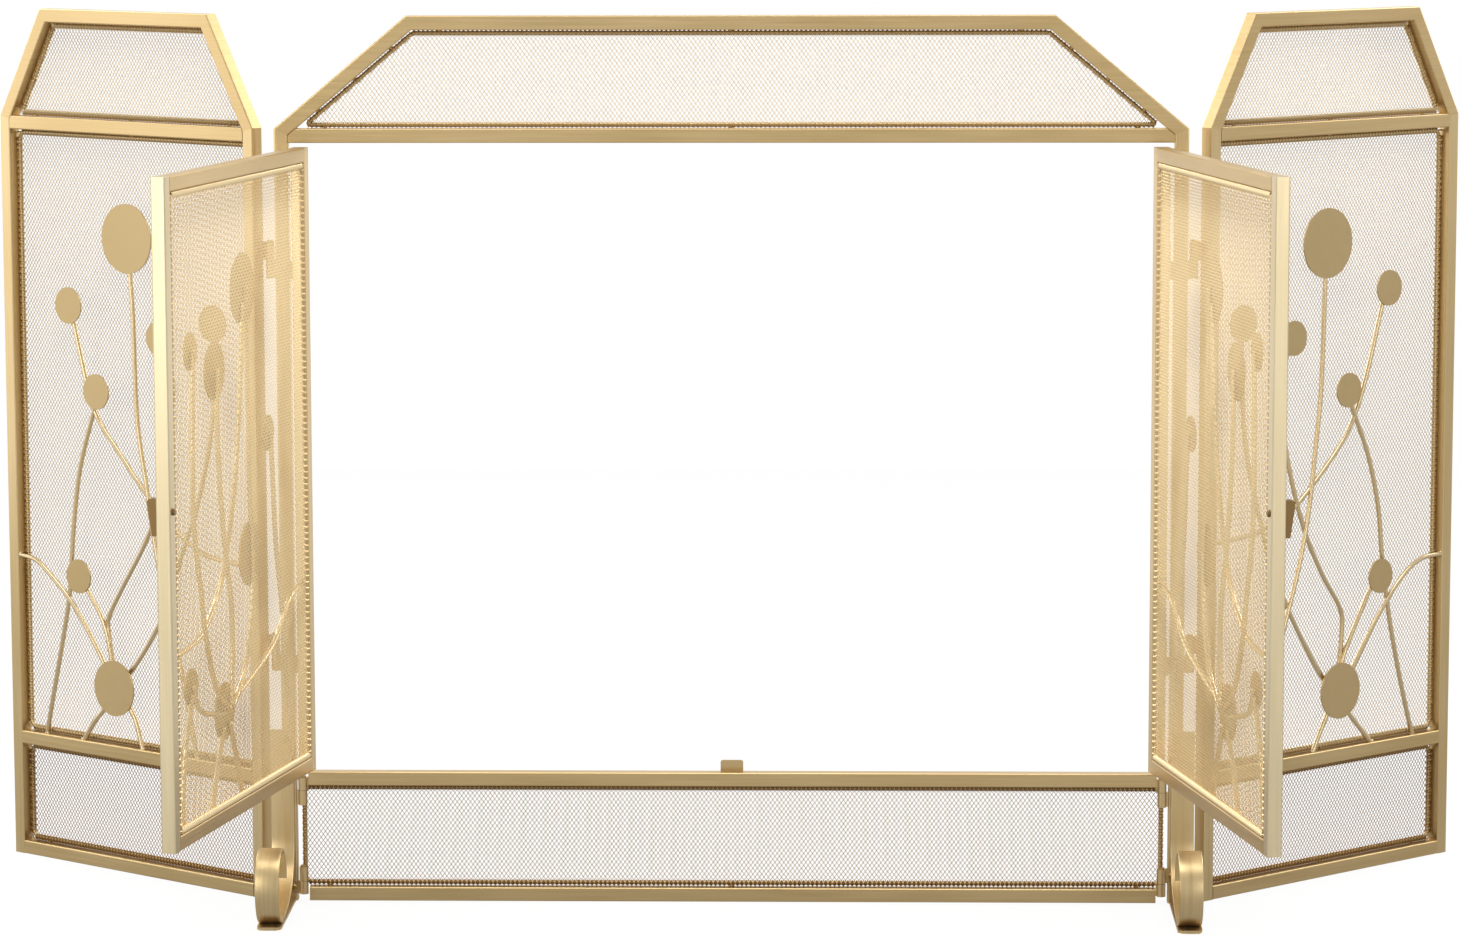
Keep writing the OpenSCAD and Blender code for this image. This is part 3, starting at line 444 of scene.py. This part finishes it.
def turn_about(axis_xy, degrees, shift, flip_x, mirrored):
    """The matrix that shifts a panel to its hinge, turns it there, and mirrors it to the left."""
    a = math.radians(degrees)
    turn = np.array([[math.cos(a), -math.sin(a), 0], [math.sin(a), math.cos(a), 0], [0, 0, 1]])
    flip = np.diag([-1.0 if flip_x else 1.0, 1.0, 1.0])
    side = np.diag([-1.0 if mirrored else 1.0, 1.0, 1.0])
    spot = np.array([axis_xy[0], axis_xy[1], 0.0])
    return side @ turn @ flip, side @ (turn @ np.array(shift) + spot)


def hinge_axis(joint):
    """A joint's X and Y in millimetres, as on the right side."""
    x, y = JOINTS[joint]["pos_m"][:2]
    return abs(x) / MM, y / MM


def wing_place(side):
    """A wing's X runs outwards from its inner edge."""
    s = bpy.context.scene.screen_sizes
    joint = side + "_wing_fold"
    axis = hinge_axis(joint)
    return turn_about(axis, -JOINTS[joint]["range_deg"][0], (s.wing_gap / 2, -axis[1], 0),
                      False, side == "left")


def door_place(side):
    """A door's X runs from its hinged edge to its free edge."""
    s = bpy.context.scene.screen_sizes
    joint = side + "_door_swing"
    axis = hinge_axis(joint)
    return turn_about(axis, -JOINTS[joint]["range_deg"][0],
                      (-s.door_gap / 2, -axis[1] - s.door_proud, 0), True, side == "left")


HOME = (np.eye(3), np.zeros(3))


def moved(points, place):
    """Points turned, then shifted, to a place."""
    return points @ place[0].T + place[1]


def openings():
    """The loops inside which the mesh panels stand, by the name of the field."""
    s = bpy.context.scene.screen_sizes
    half = s.centre_w / 2
    top = s.centre_top_w / 2
    centre = [(-half, 0), (-half, s.shoulder_z), (-top, s.screen_h), (top, s.screen_h),
              (half, s.shoulder_z), (half, 0)]
    wing = [(0, 0), (0, s.shoulder_z), (s.wing_cut, s.screen_h),
            (s.wing_w - s.wing_cut, s.screen_h), (s.wing_w, s.shoulder_z), (s.wing_w, 0)]
    t = s.tube
    low = s.kick_top - t
    cross_low = s.shoulder_z - t
    kick_half = half - t - s.kick_axis_in + s.rod_d / 2 + s.rod_gap
    door_w = half - t - s.door_gap - s.door_meet / 2
    door_low = s.kick_top + s.door_bottom_gap
    door_high = cross_low - s.door_top_gap
    return {
        "centre": top_opening(centre, t, s.shoulder_z),
        "kick": box_loop(-kick_half, kick_half, t, low),
        "wing_top": top_opening(wing, t, s.shoulder_z),
        "wing_main": box_loop(t, s.wing_w - t, s.kick_top, cross_low),
        "wing_low": box_loop(t, s.wing_w - t, t, low),
        "door": box_loop(t, door_w - t, door_low + t, door_high - t),
    }


# Mesh panels

def wire_lines(loop, step_x, step_z):
    """Where the slanting wires of one direction start and end in a convex loop: each line crosses
    every side's plane, and the wire runs from the last one entered to the first one left. The
    lines stand a share of their pitch beside the loop's middle."""
    low, high = loop.min(axis=0), loop.max(axis=0)
    reach = (high[1] - low[1]) * abs(step_x / step_z)
    middle = (low + high) / 2
    count = int((high[0] - low[0] + reach) / abs(2 * step_x)) + 2
    offsets = (np.arange(-count, count + 1) + LINE_OFF) * 2 * abs(step_x)
    start = middle + np.stack([offsets, np.zeros(2 * count + 1)], axis=1)
    way = unit(np.array([step_x, step_z], dtype=float))
    inward = right_of(np.roll(loop, -1, axis=0) - loop)
    gain = inward @ way
    place = np.einsum("lek,ek->le", start[:, None] - loop[None], inward)
    with np.errstate(divide="ignore"):
        cross = -place / gain
    enter = np.where(gain > 0, cross, -FAR)
    leave = np.where(gain < 0, cross, FAR)
    first, last = enter.max(axis=1), leave.min(axis=1)
    keep = last - first > SHORTEST
    ends = np.stack([start + first[:, None] * way, start + last[:, None] * way], axis=1)[keep]
    sides = np.stack([enter.argmax(axis=1), leave.argmin(axis=1)], axis=1)[keep]
    return ends, sides


def add_cloth(skin, opening, place, sizes):
    """Woven wire: straight slanting wires in two layers, pressed together where they cross, and a
    turn of wire round the rod at each end, a small torus tilted along the rod."""
    rod_line = inset(opening, sizes.rod_gap + sizes.rod_d / 2)
    profile = ring(sizes.wire_d / 2, WIRE_SIDES)
    side_way = unit(np.roll(rod_line, -1, axis=0) - rod_line)
    for lean in (1, -1):
        ends, sides = wire_lines(rod_line, lean * sizes.weave_w / 2, sizes.weave_h / 2)
        depth = sizes.rod_y + lean * sizes.wire_d * LAYER_OFF
        line = with_depth(ends, depth)
        along = unit(line[:, 1] - line[:, 0])
        across = np.cross(along, DEPTH)
        rows = (line[:, :, None] + profile[:, 0, None] * across[:, None, None]
                + profile[:, 1, None] * DEPTH)
        skin.grids(moved(rows, place))
        axis = with_depth(side_way[sides.reshape(-1)], 0.0)
        add_turns(skin, with_depth(ends.reshape(-1, 2), sizes.rod_y), axis, lean, place, sizes)


def add_turns(skin, centres, axis, lean, place, sizes):
    """One turn of wire at each centre: a torus round the rod, its ring leaning along the rod."""
    around = np.arange(TURN_STEPS) * 2 * math.pi / TURN_STEPS
    out = np.cross(axis, DEPTH)
    major = sizes.rod_d / 2 + sizes.turn_d * TURN_OFF
    tilt = lean * sizes.weave_w * TURN_LEAN
    radial = (np.cos(around)[None, :, None] * out[:, None]
              + np.sin(around)[None, :, None] * DEPTH)
    middle = (centres[:, None] + radial * major
              + (tilt * np.sin(around))[None, :, None] * axis[:, None])
    section = ring(sizes.turn_d / 2, TURN_SIDES)
    tube = (middle[:, :, None] + section[:, 0, None] * radial[:, :, None]
            + section[:, 1, None] * axis[:, None, None])
    skin.grids(moved(tube, place), wrap_rows=True)


def add_rod(skin, opening, place, sizes, welded):
    """The round rod, bent to an arc at each corner, and its weld beads to the tubes."""
    path = round_corners(inset(opening, sizes.rod_gap + sizes.rod_d / 2), sizes.rod_round)
    body = sweep(with_depth(path, sizes.rod_y), ring(sizes.rod_d / 2, ROD_SIDES), DEPTH, closed=True)
    skin.grids(moved(body, place), wrap_rows=True)
    centres = []
    frames = []
    for i in welded:
        a, b = opening[i], opening[(i + 1) % len(opening)]
        way = unit(b - a)
        for mark in (a + sizes.bead_in * way, (a + b) / 2, b - sizes.bead_in * way):
            spot = mark + right_of(way) * sizes.rod_gap * BEAD_OFF
            centres.append(with_depth(spot, sizes.rod_y))
            frames.append(np.array([with_depth(way, 0.0), with_depth(right_of(way), 0.0), DEPTH]))
    beads = blobs(np.array(centres), np.array(BEAD_RADII), np.array(frames))
    skin.grids(moved(beads, place))


def mesh_panel(name, body, place, fields, node, welded=(0, 1, 2, 3)):
    """Each field is a loop and the finish of its wire."""
    s = bpy.context.scene.screen_sizes
    skin = Skin("plated_rod")
    for loop, wire in fields:
        skin.finish = wire
        add_cloth(skin, loop, place, s)
        skin.finish = "plated_rod"
        add_rod(skin, loop, place, s, welded)
    skin.piece(name, body, (node,))


# Ornament stems

def cut_to(path, opening):
    """Drops the points of a path that lie outside an opening, and ends it on the opening's edge."""
    low, high = opening.min(axis=0), opening.max(axis=0)
    flat = path[:, [0, 2]]
    inside = np.all((flat > low) & (flat < high), axis=1)
    kept = path[inside]
    ends = []
    for here, past in ((0, ~inside[0]), (-1, ~inside[-1])):
        if past:
            a = kept[here]
            b = path[np.flatnonzero(inside)[here] + (1 if here else -1)]
            step = (b - a)[[0, 2]]
            room = np.where(step > 0, high - a[[0, 2]], low - a[[0, 2]])
            with np.errstate(divide="ignore"):
                share = np.abs(np.where(step == 0, FAR, room / step)).min()
            ends.append((here, a + (b - a) * share))
    for here, point in ends:
        kept = np.concatenate([kept, point[None]]) if here else np.concatenate([point[None], kept])
    return kept


def add_stem(skin, stem, opening, place, sizes):
    """A round rod along a smooth curve, from one layer to the other, with a weld at each end."""
    first, last, points = stem
    corner = opening.min(axis=0)
    flat = smooth_curve(np.array(points, dtype=float) + corner, STEM_STEPS)
    depths = np.array([sizes.stem_front, sizes.stem_back]) - sizes.tube / 2
    share = np.linspace(first, last, len(flat))
    path = with_depth(flat, depths[0] + (depths[1] - depths[0]) * share)
    path = cut_to(path, opening)
    skin.grids(moved(sweep(path, ring(sizes.stem_d / 2, ROD_SIDES), DEPTH), place))
    ends = path[[0, -1]]
    ways = unit(np.stack([path[1] - path[0], path[-2] - path[-1]]))
    across = unit(np.cross(ways, DEPTH))
    frames = np.stack([across, ways, np.cross(across, ways)], axis=1)
    skin.grids(moved(blobs(ends, sizes.stem_d / 2 * np.array(WELD_RADII), frames), place))


def stem_piece(name, body, place, stems, opening, node):
    """The stems of one opening."""
    s = bpy.context.scene.screen_sizes
    skin = Skin("plated_bar")
    for stem in stems:
        add_stem(skin, stem, opening, place, s)
    skin.piece(name, body, (node,))


# Feet

def strap_path(s):
    """Down the post, then a cubic sweep forward to the floor, then three quarters of a circle."""
    t = s.strap_t / 2
    radius = s.scroll_d / 2 - t
    middle = np.array([s.scroll_reach, s.strap_t + s.scroll_lift + s.scroll_d / 2])
    low = middle[1] - radius
    corners = ((t, s.strap_leave), (t, s.strap_leave * STRAP_PULL),
               (s.scroll_reach * STRAP_PULL, low), (s.scroll_reach, low))
    a, b, c, d = (np.array(corner) for corner in corners)
    u = np.linspace(0, 1, SWEEP_STEPS + 1)[:-1, None]
    swept = (1 - u) ** 3 * a + 3 * (1 - u) ** 2 * u * b + 3 * (1 - u) * u ** 2 * c + u ** 3 * d
    upright = np.array([(t, s.strap_top), (t, s.strap_leave * STRAP_END)])
    angle = np.radians(np.linspace(-90, 180, SCROLL_STEPS + 1))
    circle = middle + radius * np.stack([np.cos(angle), np.sin(angle)], axis=1)
    flat = np.concatenate([upright, swept, circle])
    return np.stack([np.zeros(len(flat)), -s.tube / 2 - flat[:, 0], flat[:, 1]], axis=1)


def foot_strap(side, sign):
    """The strap's rounded section, carried along its path."""
    s = bpy.context.scene.screen_sizes
    x = sign * (s.centre_w / 2 - s.tube + s.strap_in)
    path = strap_path(s) + np.array([x, 0, 0])
    profile = rounded_box(s.strap_t, s.strap_w, STRAP_ROUND)
    skin = Skin("brushed_strap")
    skin.grids(sweep(path, profile, ACROSS))
    node = side + "_foot_scroll"
    skin.piece(side + "_foot_strap", "root", (node,))


def foot_bar(side, sign):
    """A flat bar with its two front corners rounded and its edges eased."""
    s = bpy.context.scene.screen_sizes
    x = sign * (s.centre_w / 2 - s.tube + s.strap_in)
    y0, y1 = -s.tube / 2, -s.tube / 2 - s.base_l
    half = s.strap_w / 2
    r = BAR_CORNER
    turn = np.radians(np.linspace(0, 90, CORNER_POINTS))
    near = np.stack([half - r + r * np.cos(turn), y1 + r - r * np.sin(turn)], axis=1)
    far = near[::-1] * (-1, 1)
    outline = np.concatenate([[(half, y0)], near, far, [(-half, y0)]])
    shrunk = inset(outline[::-1], BAR_EDGE)[::-1]
    shrunk[:, 1] = np.minimum(shrunk[:, 1], y0)
    rows = [(shrunk, 0.0), (outline, BAR_EDGE), (outline, s.strap_t - BAR_EDGE),
            (shrunk, s.strap_t)]
    grid = np.stack([np.column_stack([flat[:, 0] + x, flat[:, 1], np.full(len(flat), z)])
                     for flat, z in rows])
    skin = Skin("brushed_strap")
    skin.grids(grid[None])
    node = side + "_foot_base"
    skin.piece(side + "_foot_bar", "root", (node,), smooth_angle=30)


# Materials

def add_node(tree, kind, links=None, **settings):
    """Adds a node. A link is an output socket or a value for the input socket of that name."""
    node = tree.nodes.new(kind)
    for name, value in settings.items():
        setattr(node, name, value)
    for name, value in (links or {}).items():
        socket = node.inputs[name]
        if isinstance(value, bpy.types.NodeSocket):
            tree.links.new(value, socket)
        else:
            socket.default_value = value
    return node


def brushed_metal(name, light, dark, streak, roughness, bump):
    """Metal whose fine streaks run one way: noise, stretched by the three numbers of streak, per
    metre, moves the colour, the roughness and a slight bump."""
    material, shader = plain_metal(name, light, roughness)
    tree = material.node_tree
    place = add_node(tree, "ShaderNodeTexCoord")
    stretch = add_node(tree, "ShaderNodeMapping",
                       {"Vector": place.outputs["Object"], "Scale": streak})
    grain = add_node(tree, "ShaderNodeTexNoise",
                     {"Vector": stretch.outputs["Vector"], "Scale": 1.0, "Detail": GRAIN_DETAIL})
    cloud = add_node(tree, "ShaderNodeTexNoise",
                     {"Vector": place.outputs["Object"], "Scale": CLOUD_SCALE,
                      "Detail": CLOUD_DETAIL})
    both = add_node(tree, "ShaderNodeMath", {0: grain.outputs["Fac"], 1: cloud.outputs["Fac"]})
    share = add_node(tree, "ShaderNodeMapRange",
                     {"Value": both.outputs[0], "From Min": TONE_SPAN[0],
                      "From Max": TONE_SPAN[1]})
    tone = add_node(tree, "ShaderNodeMix", {"Factor": share.outputs[0]}, data_type="RGBA")
    tone.inputs["A"].default_value = linear(dark)
    tone.inputs["B"].default_value = linear(light)
    rough = add_node(tree, "ShaderNodeMapRange",
                     {"Value": grain.outputs["Fac"], "From Min": GRAIN_SPAN[0],
                      "From Max": GRAIN_SPAN[1], "To Min": roughness - SMOOTHER,
                      "To Max": roughness + ROUGHER})
    lift = add_node(tree, "ShaderNodeBump",
                    {"Height": grain.outputs["Fac"], "Strength": bump, "Distance": BUMP_DEPTH})
    tree.links.new(tone.outputs["Result"], shader.inputs["Base Color"])
    tree.links.new(rough.outputs[0], shader.inputs["Roughness"])
    tree.links.new(lift.outputs[0], shader.inputs["Normal"])


def plain_metal(name, colour, roughness, lacquer=0.0):
    """Smooth metal of one colour, under as much clear lacquer as given."""
    material = bpy.data.materials.new(name)
    material.use_nodes = True
    shader = material.node_tree.nodes["Principled BSDF"]
    shader.inputs["Base Color"].default_value = linear(colour)
    shader.inputs["Metallic"].default_value = 1.0
    shader.inputs["Roughness"].default_value = roughness
    shader.inputs["Coat Weight"].default_value = lacquer
    shader.inputs["Coat Roughness"].default_value = LACQUER_ROUGHNESS
    return material, shader


def finishes():
    """The screen's finishes by name, made once."""
    if "plated_wire" in bpy.data.materials:
        return bpy.data.materials
    c = bpy.context.scene.screen_colours
    # Brass-plated steel tube, brushed along its length. Upright tubes are paler than level ones, a
    # painted sheen, and the doors' free stiles are the palest and greyest, a painted highlight, as
    # they show in the photo.
    brushed_metal("brushed_plate_upright_painted_sheen", c.upright_light, c.upright_dark, STREAKS_UP,
                  roughness=0.34, bump=0.08)
    brushed_metal("brushed_plate_free_painted_highlight", c.free_light, c.free_dark, STREAKS_UP,
                  roughness=0.34, bump=0.08)
    brushed_metal("brushed_plate_level_painted_shade", c.level_light, c.level_dark, STREAKS_LEVEL,
                  roughness=0.36, bump=0.08)
    # Blanked steel discs, plated over a matt ground face. Those of the doors are darker: painted shade.
    brushed_metal("matt_plate", c.disc_light, c.disc_dark, STREAKS_NONE, roughness=0.50, bump=0.05)
    brushed_metal("matt_plate_door_painted_shade", c.door_disc_light, c.door_disc_dark, STREAKS_NONE,
                  roughness=0.50, bump=0.05)
    # Plated steel rod and wire, drawn smooth. The doors' cloth is the brightest, a painted sheen, and
    # the cloth near the floor the darkest, painted shade.
    plain_metal("plated_rod", c.rod, roughness=0.36)
    plain_metal("plated_wire", c.wire, roughness=0.36)
    plain_metal("plated_wire_low", c.low_wire, roughness=0.36)
    plain_metal("plated_wire_door", c.door_wire, roughness=0.36)
    # Plated round bar of the stems, with a clear highlight line along one side
    plain_metal("plated_bar", c.stem, roughness=0.27, lacquer=1.0)
    # Flat strap of the feet, rolled, and brushed along its length
    brushed_metal("brushed_strap", c.strap_light, c.strap_dark, STREAKS_STRAP,
                  roughness=0.38, bump=0.10)
    # Hinge barrels, leaves and the stop tab
    plain_metal("plated_hardware", c.hardware, roughness=0.30)
    # Door pulls, darker than the rest: painted shade
    plain_metal("pull_painted_shade", c.pull, roughness=0.34)
    # Turned brass pins and screws
    plain_metal("turned_brass", c.screw, roughness=0.28)
    return bpy.data.materials


def finish_of(node):
    """The finish of a node that is carried over from the frame."""
    if "screws" in node or "pins" in node:
        return "turned_brass"
    if "pull" in node:
        return "pull_painted_shade"
    if any(word in node for word in ("knuckles", "brackets", "sockets", "tab")):
        return "plated_hardware"
    if "discs" in node:
        return "matt_plate_door_painted_shade" if "door" in node else "matt_plate"
    # Free stiles take a painted highlight, upright tubes a painted sheen, level tubes painted shade
    if "free_stile" in node:
        return "brushed_plate_free_painted_highlight"
    if "post" in node or "stile" in node:
        return "brushed_plate_upright_painted_sheen"
    return "brushed_plate_level_painted_shade"


# Stage

def direct_rays(tree):
    """1 for rays by which the background is seen: from the camera, off metal and through glass."""
    rays = add_node(tree, "ShaderNodeLightPath")
    seen = add_node(tree, "ShaderNodeMath", {0: rays.outputs["Is Camera Ray"],
                                             1: rays.outputs["Is Glossy Ray"]}, operation="MAXIMUM")
    through = add_node(tree, "ShaderNodeMath", {0: seen.outputs[0],
                                                1: rays.outputs["Is Transmission Ray"]},
                       operation="MAXIMUM")
    return through.outputs[0]


def white_to_camera(tree, place, span, strength):
    """Strength 1 for the camera. Metal sees the first strength where place is at the start of the
    span, and the second one at its end."""
    ramp = add_node(tree, "ShaderNodeMapRange", {"Value": place, "From Min": span[0],
                                                 "From Max": span[1], "To Min": strength[0],
                                                 "To Max": strength[1]})
    rays = add_node(tree, "ShaderNodeLightPath")
    return add_node(tree, "ShaderNodeMath", {0: ramp.outputs[0], 1: rays.outputs["Is Camera Ray"]},
                    operation="MAXIMUM").outputs[0]


def pale_surface(name, shown, strength):
    """Matt white paint, of which the given share shows as white. Metal sees its glow dimmer near the
    screen's own plane than further off: painted shade of the screen on the floor."""
    material = bpy.data.materials.new(name)
    material.use_nodes = True
    tree = material.node_tree
    tree.nodes.clear()
    place = add_node(tree, "ShaderNodeNewGeometry")
    split = add_node(tree, "ShaderNodeSeparateXYZ", {"Vector": place.outputs["Position"]})
    off = add_node(tree, "ShaderNodeMath", {0: split.outputs["Y"]}, operation="ABSOLUTE")
    paint = add_node(tree, "ShaderNodeBsdfDiffuse", {"Color": FLOOR_PAINT})
    glow = add_node(tree, "ShaderNodeEmission",
                    {"Color": WHITE,
                     "Strength": white_to_camera(tree, off.outputs[0], FLOOR_SPAN, strength)})
    share = add_node(tree, "ShaderNodeMath", {0: direct_rays(tree), 1: shown}, operation="MULTIPLY")
    mix = add_node(tree, "ShaderNodeMixShader", {"Fac": share.outputs[0], 1: paint.outputs[0],
                                                 2: glow.outputs[0]})
    out = add_node(tree, "ShaderNodeOutputMaterial", {"Surface": mix.outputs[0]})
    tree.nodes.active = out
    return material


def flat_stage(name, corners, material):
    """A flat face that belongs to the stage."""
    mesh = bpy.data.meshes.new(name)
    mesh.from_pydata(corners, [], [(0, 1, 2, 3)])
    mesh.materials.append(material)
    obj = bpy.data.objects.new(name, mesh)
    bpy.context.scene.collection.objects.link(obj)


def studio_world():
    """Soft white studio, pure white where it is seen. Metal sees the side behind the screen as
    white, and the side of the photographer as dimmer."""
    world = bpy.data.worlds.new("studio")
    bpy.context.scene.world = world
    world.use_nodes = True
    tree = world.node_tree
    tree.nodes.clear()
    place = add_node(tree, "ShaderNodeTexCoord")
    split = add_node(tree, "ShaderNodeSeparateXYZ", {"Vector": place.outputs["Generated"]})
    lit = add_node(tree, "ShaderNodeBackground", {"Color": WHITE, "Strength": WORLD_LIGHT})
    strength = white_to_camera(tree, split.outputs["Y"], WORLD_SPAN, WORLD_IN_METAL)
    seen = add_node(tree, "ShaderNodeBackground", {"Color": WHITE, "Strength": strength})
    mix = add_node(tree, "ShaderNodeMixShader", {"Fac": direct_rays(tree), 1: lit.outputs[0],
                                                 2: seen.outputs[0]})
    add_node(tree, "ShaderNodeOutputWorld", {"Surface": mix.outputs[0]})


def soft_box(name, place, target, size, power):
    """A rectangular lamp that faces its target."""
    light = bpy.data.lights.new(name, "AREA")
    light.shape = "RECTANGLE"
    light.size, light.size_y = size
    light.energy = power
    obj = bpy.data.objects.new(name, light)
    obj.location = place
    obj.rotation_euler = (Vector(target) - Vector(place)).to_track_quat("-Z", "Y").to_euler()
    bpy.context.scene.collection.objects.link(obj)


def camera():
    """A long lens a little above the screen's top, looking slightly down."""
    lens = bpy.data.cameras.new("camera")
    lens.sensor_width = SENSOR_MM
    lens.lens = LENS_MM
    obj = bpy.data.objects.new("camera", lens)
    turn = (Matrix.Rotation(math.radians(CAMERA_SWING), 4, "Z")
            @ Matrix.Rotation(math.radians(CAMERA_TILT), 4, "X")
            @ Matrix.Rotation(math.radians(CAMERA_ROLL), 4, "Z"))
    obj.matrix_world = Matrix.Translation(CAMERA_PLACE) @ turn
    bpy.context.scene.collection.objects.link(obj)
    bpy.context.scene.camera = obj


# Operators

class SCREEN_OT_panels(bpy.types.Operator):
    """Weaves the mesh panels of the centre frame, the kick strip, the wings and the doors"""
    bl_idname = "screen.panels"
    bl_label = "Mesh Panels"

    def execute(self, context):
        finishes()
        loops = openings()
        mesh_panel("centre_top_cloth", "root", HOME, [(loops["centre"], "plated_wire")],
                   "centre_top_mesh")
        mesh_panel("kick_cloth", "root", HOME, [(loops["kick"], "plated_wire_low")], "kick_mesh",
                   (1, 3))
        wing = [(loops["wing_top"], "plated_wire"), (loops["wing_main"], "plated_wire"),
                (loops["wing_low"], "plated_wire_low")]
        door = [(loops["door"], "plated_wire_door")]
        for side, _ in SIDES:
            mesh_panel(side + "_wing_cloth", side + "_wing", wing_place(side), wing,
                       side + "_wing_mesh")
            mesh_panel(side + "_door_cloth", side + "_door", door_place(side), door,
                       side + "_door_mesh")
        return {"FINISHED"}


class SCREEN_OT_stems(bpy.types.Operator):
    """Bends the ornament's stems and welds their ends"""
    bl_idname = "screen.stems"
    bl_label = "Ornament Stems"

    def execute(self, context):
        finishes()
        loops = openings()
        for side, _ in SIDES:
            wing_stems = LEFT_WING_STEMS if side == "left" else RIGHT_WING_STEMS
            stem_piece(side + "_wing_bars", side + "_wing", wing_place(side), wing_stems,
                       loops["wing_main"], side + "_wing_stems")
            stem_piece(side + "_door_bars", side + "_door", door_place(side), DOOR_STEMS,
                       loops["door"], side + "_door_stems")
        return {"FINISHED"}


class SCREEN_OT_feet(bpy.types.Operator):
    """Rolls the two scrolled straps and their flat bars"""
    bl_idname = "screen.feet"
    bl_label = "Feet"

    def execute(self, context):
        finishes()
        for side, sign in SIDES:
            foot_strap(side, sign)
            foot_bar(side, sign)
        return {"FINISHED"}


class SCREEN_OT_finishes(bpy.types.Operator):
    """Gives each tube, disc, pull, hinge and screw its finish"""
    bl_idname = "screen.finishes"
    bl_label = "Finishes"

    def execute(self, context):
        made = finishes()
        for name, obj in frame["nodes"].items():
            obj.data.materials.clear()
            obj.data.materials.append(made[finish_of(name)])
        return {"FINISHED"}


class SCREEN_OT_stage(bpy.types.Operator):
    """Sets up the pale floor, the white studio, the lights and the camera"""
    bl_idname = "screen.stage"
    bl_label = "Stage"

    def execute(self, context):
        bpy.context.scene.view_settings.view_transform = "Standard"
        flat_stage("floor", FLOOR, pale_surface("white_floor", FLOOR_SHOWN, FLOOR_SHADE_IN_METAL))
        studio_world()
        for lamp in LAMPS:
            soft_box(*lamp)
        camera()
        return {"FINISHED"}


class SCREEN_PT_panel(bpy.types.Panel):
    """Sizes, colours and steps of the fireplace screen"""
    bl_label = "Fire Screen"
    bl_idname = "SCREEN_PT_panel"
    bl_space_type = "VIEW_3D"
    bl_region_type = "UI"
    bl_category = "Fire Screen"

    def draw(self, context):
        for group in (context.scene.screen_sizes, context.scene.screen_colours):
            for name in group.__annotations__:
                self.layout.prop(group, name)
        for step in STEPS:
            self.layout.operator(step.bl_idname)


STEPS = (SCREEN_OT_panels, SCREEN_OT_stems, SCREEN_OT_feet, SCREEN_OT_finishes, SCREEN_OT_stage)
CLASSES = (ScreenSizes, ScreenColours) + STEPS + (SCREEN_PT_panel,)


def register():
    for cls in CLASSES:
        bpy.utils.register_class(cls)
    bpy.types.Scene.screen_sizes = PointerProperty(type=ScreenSizes)
    bpy.types.Scene.screen_colours = PointerProperty(type=ScreenColours)


def unregister():
    del bpy.types.Scene.screen_colours
    del bpy.types.Scene.screen_sizes
    for cls in reversed(CLASSES):
        bpy.utils.unregister_class(cls)


def main():
    register()
    bpy.ops.screen.panels()
    bpy.ops.screen.stems()
    bpy.ops.screen.feet()
    bpy.ops.screen.finishes()
    bpy.ops.screen.stage()


if __name__ == "__main__":
    main()
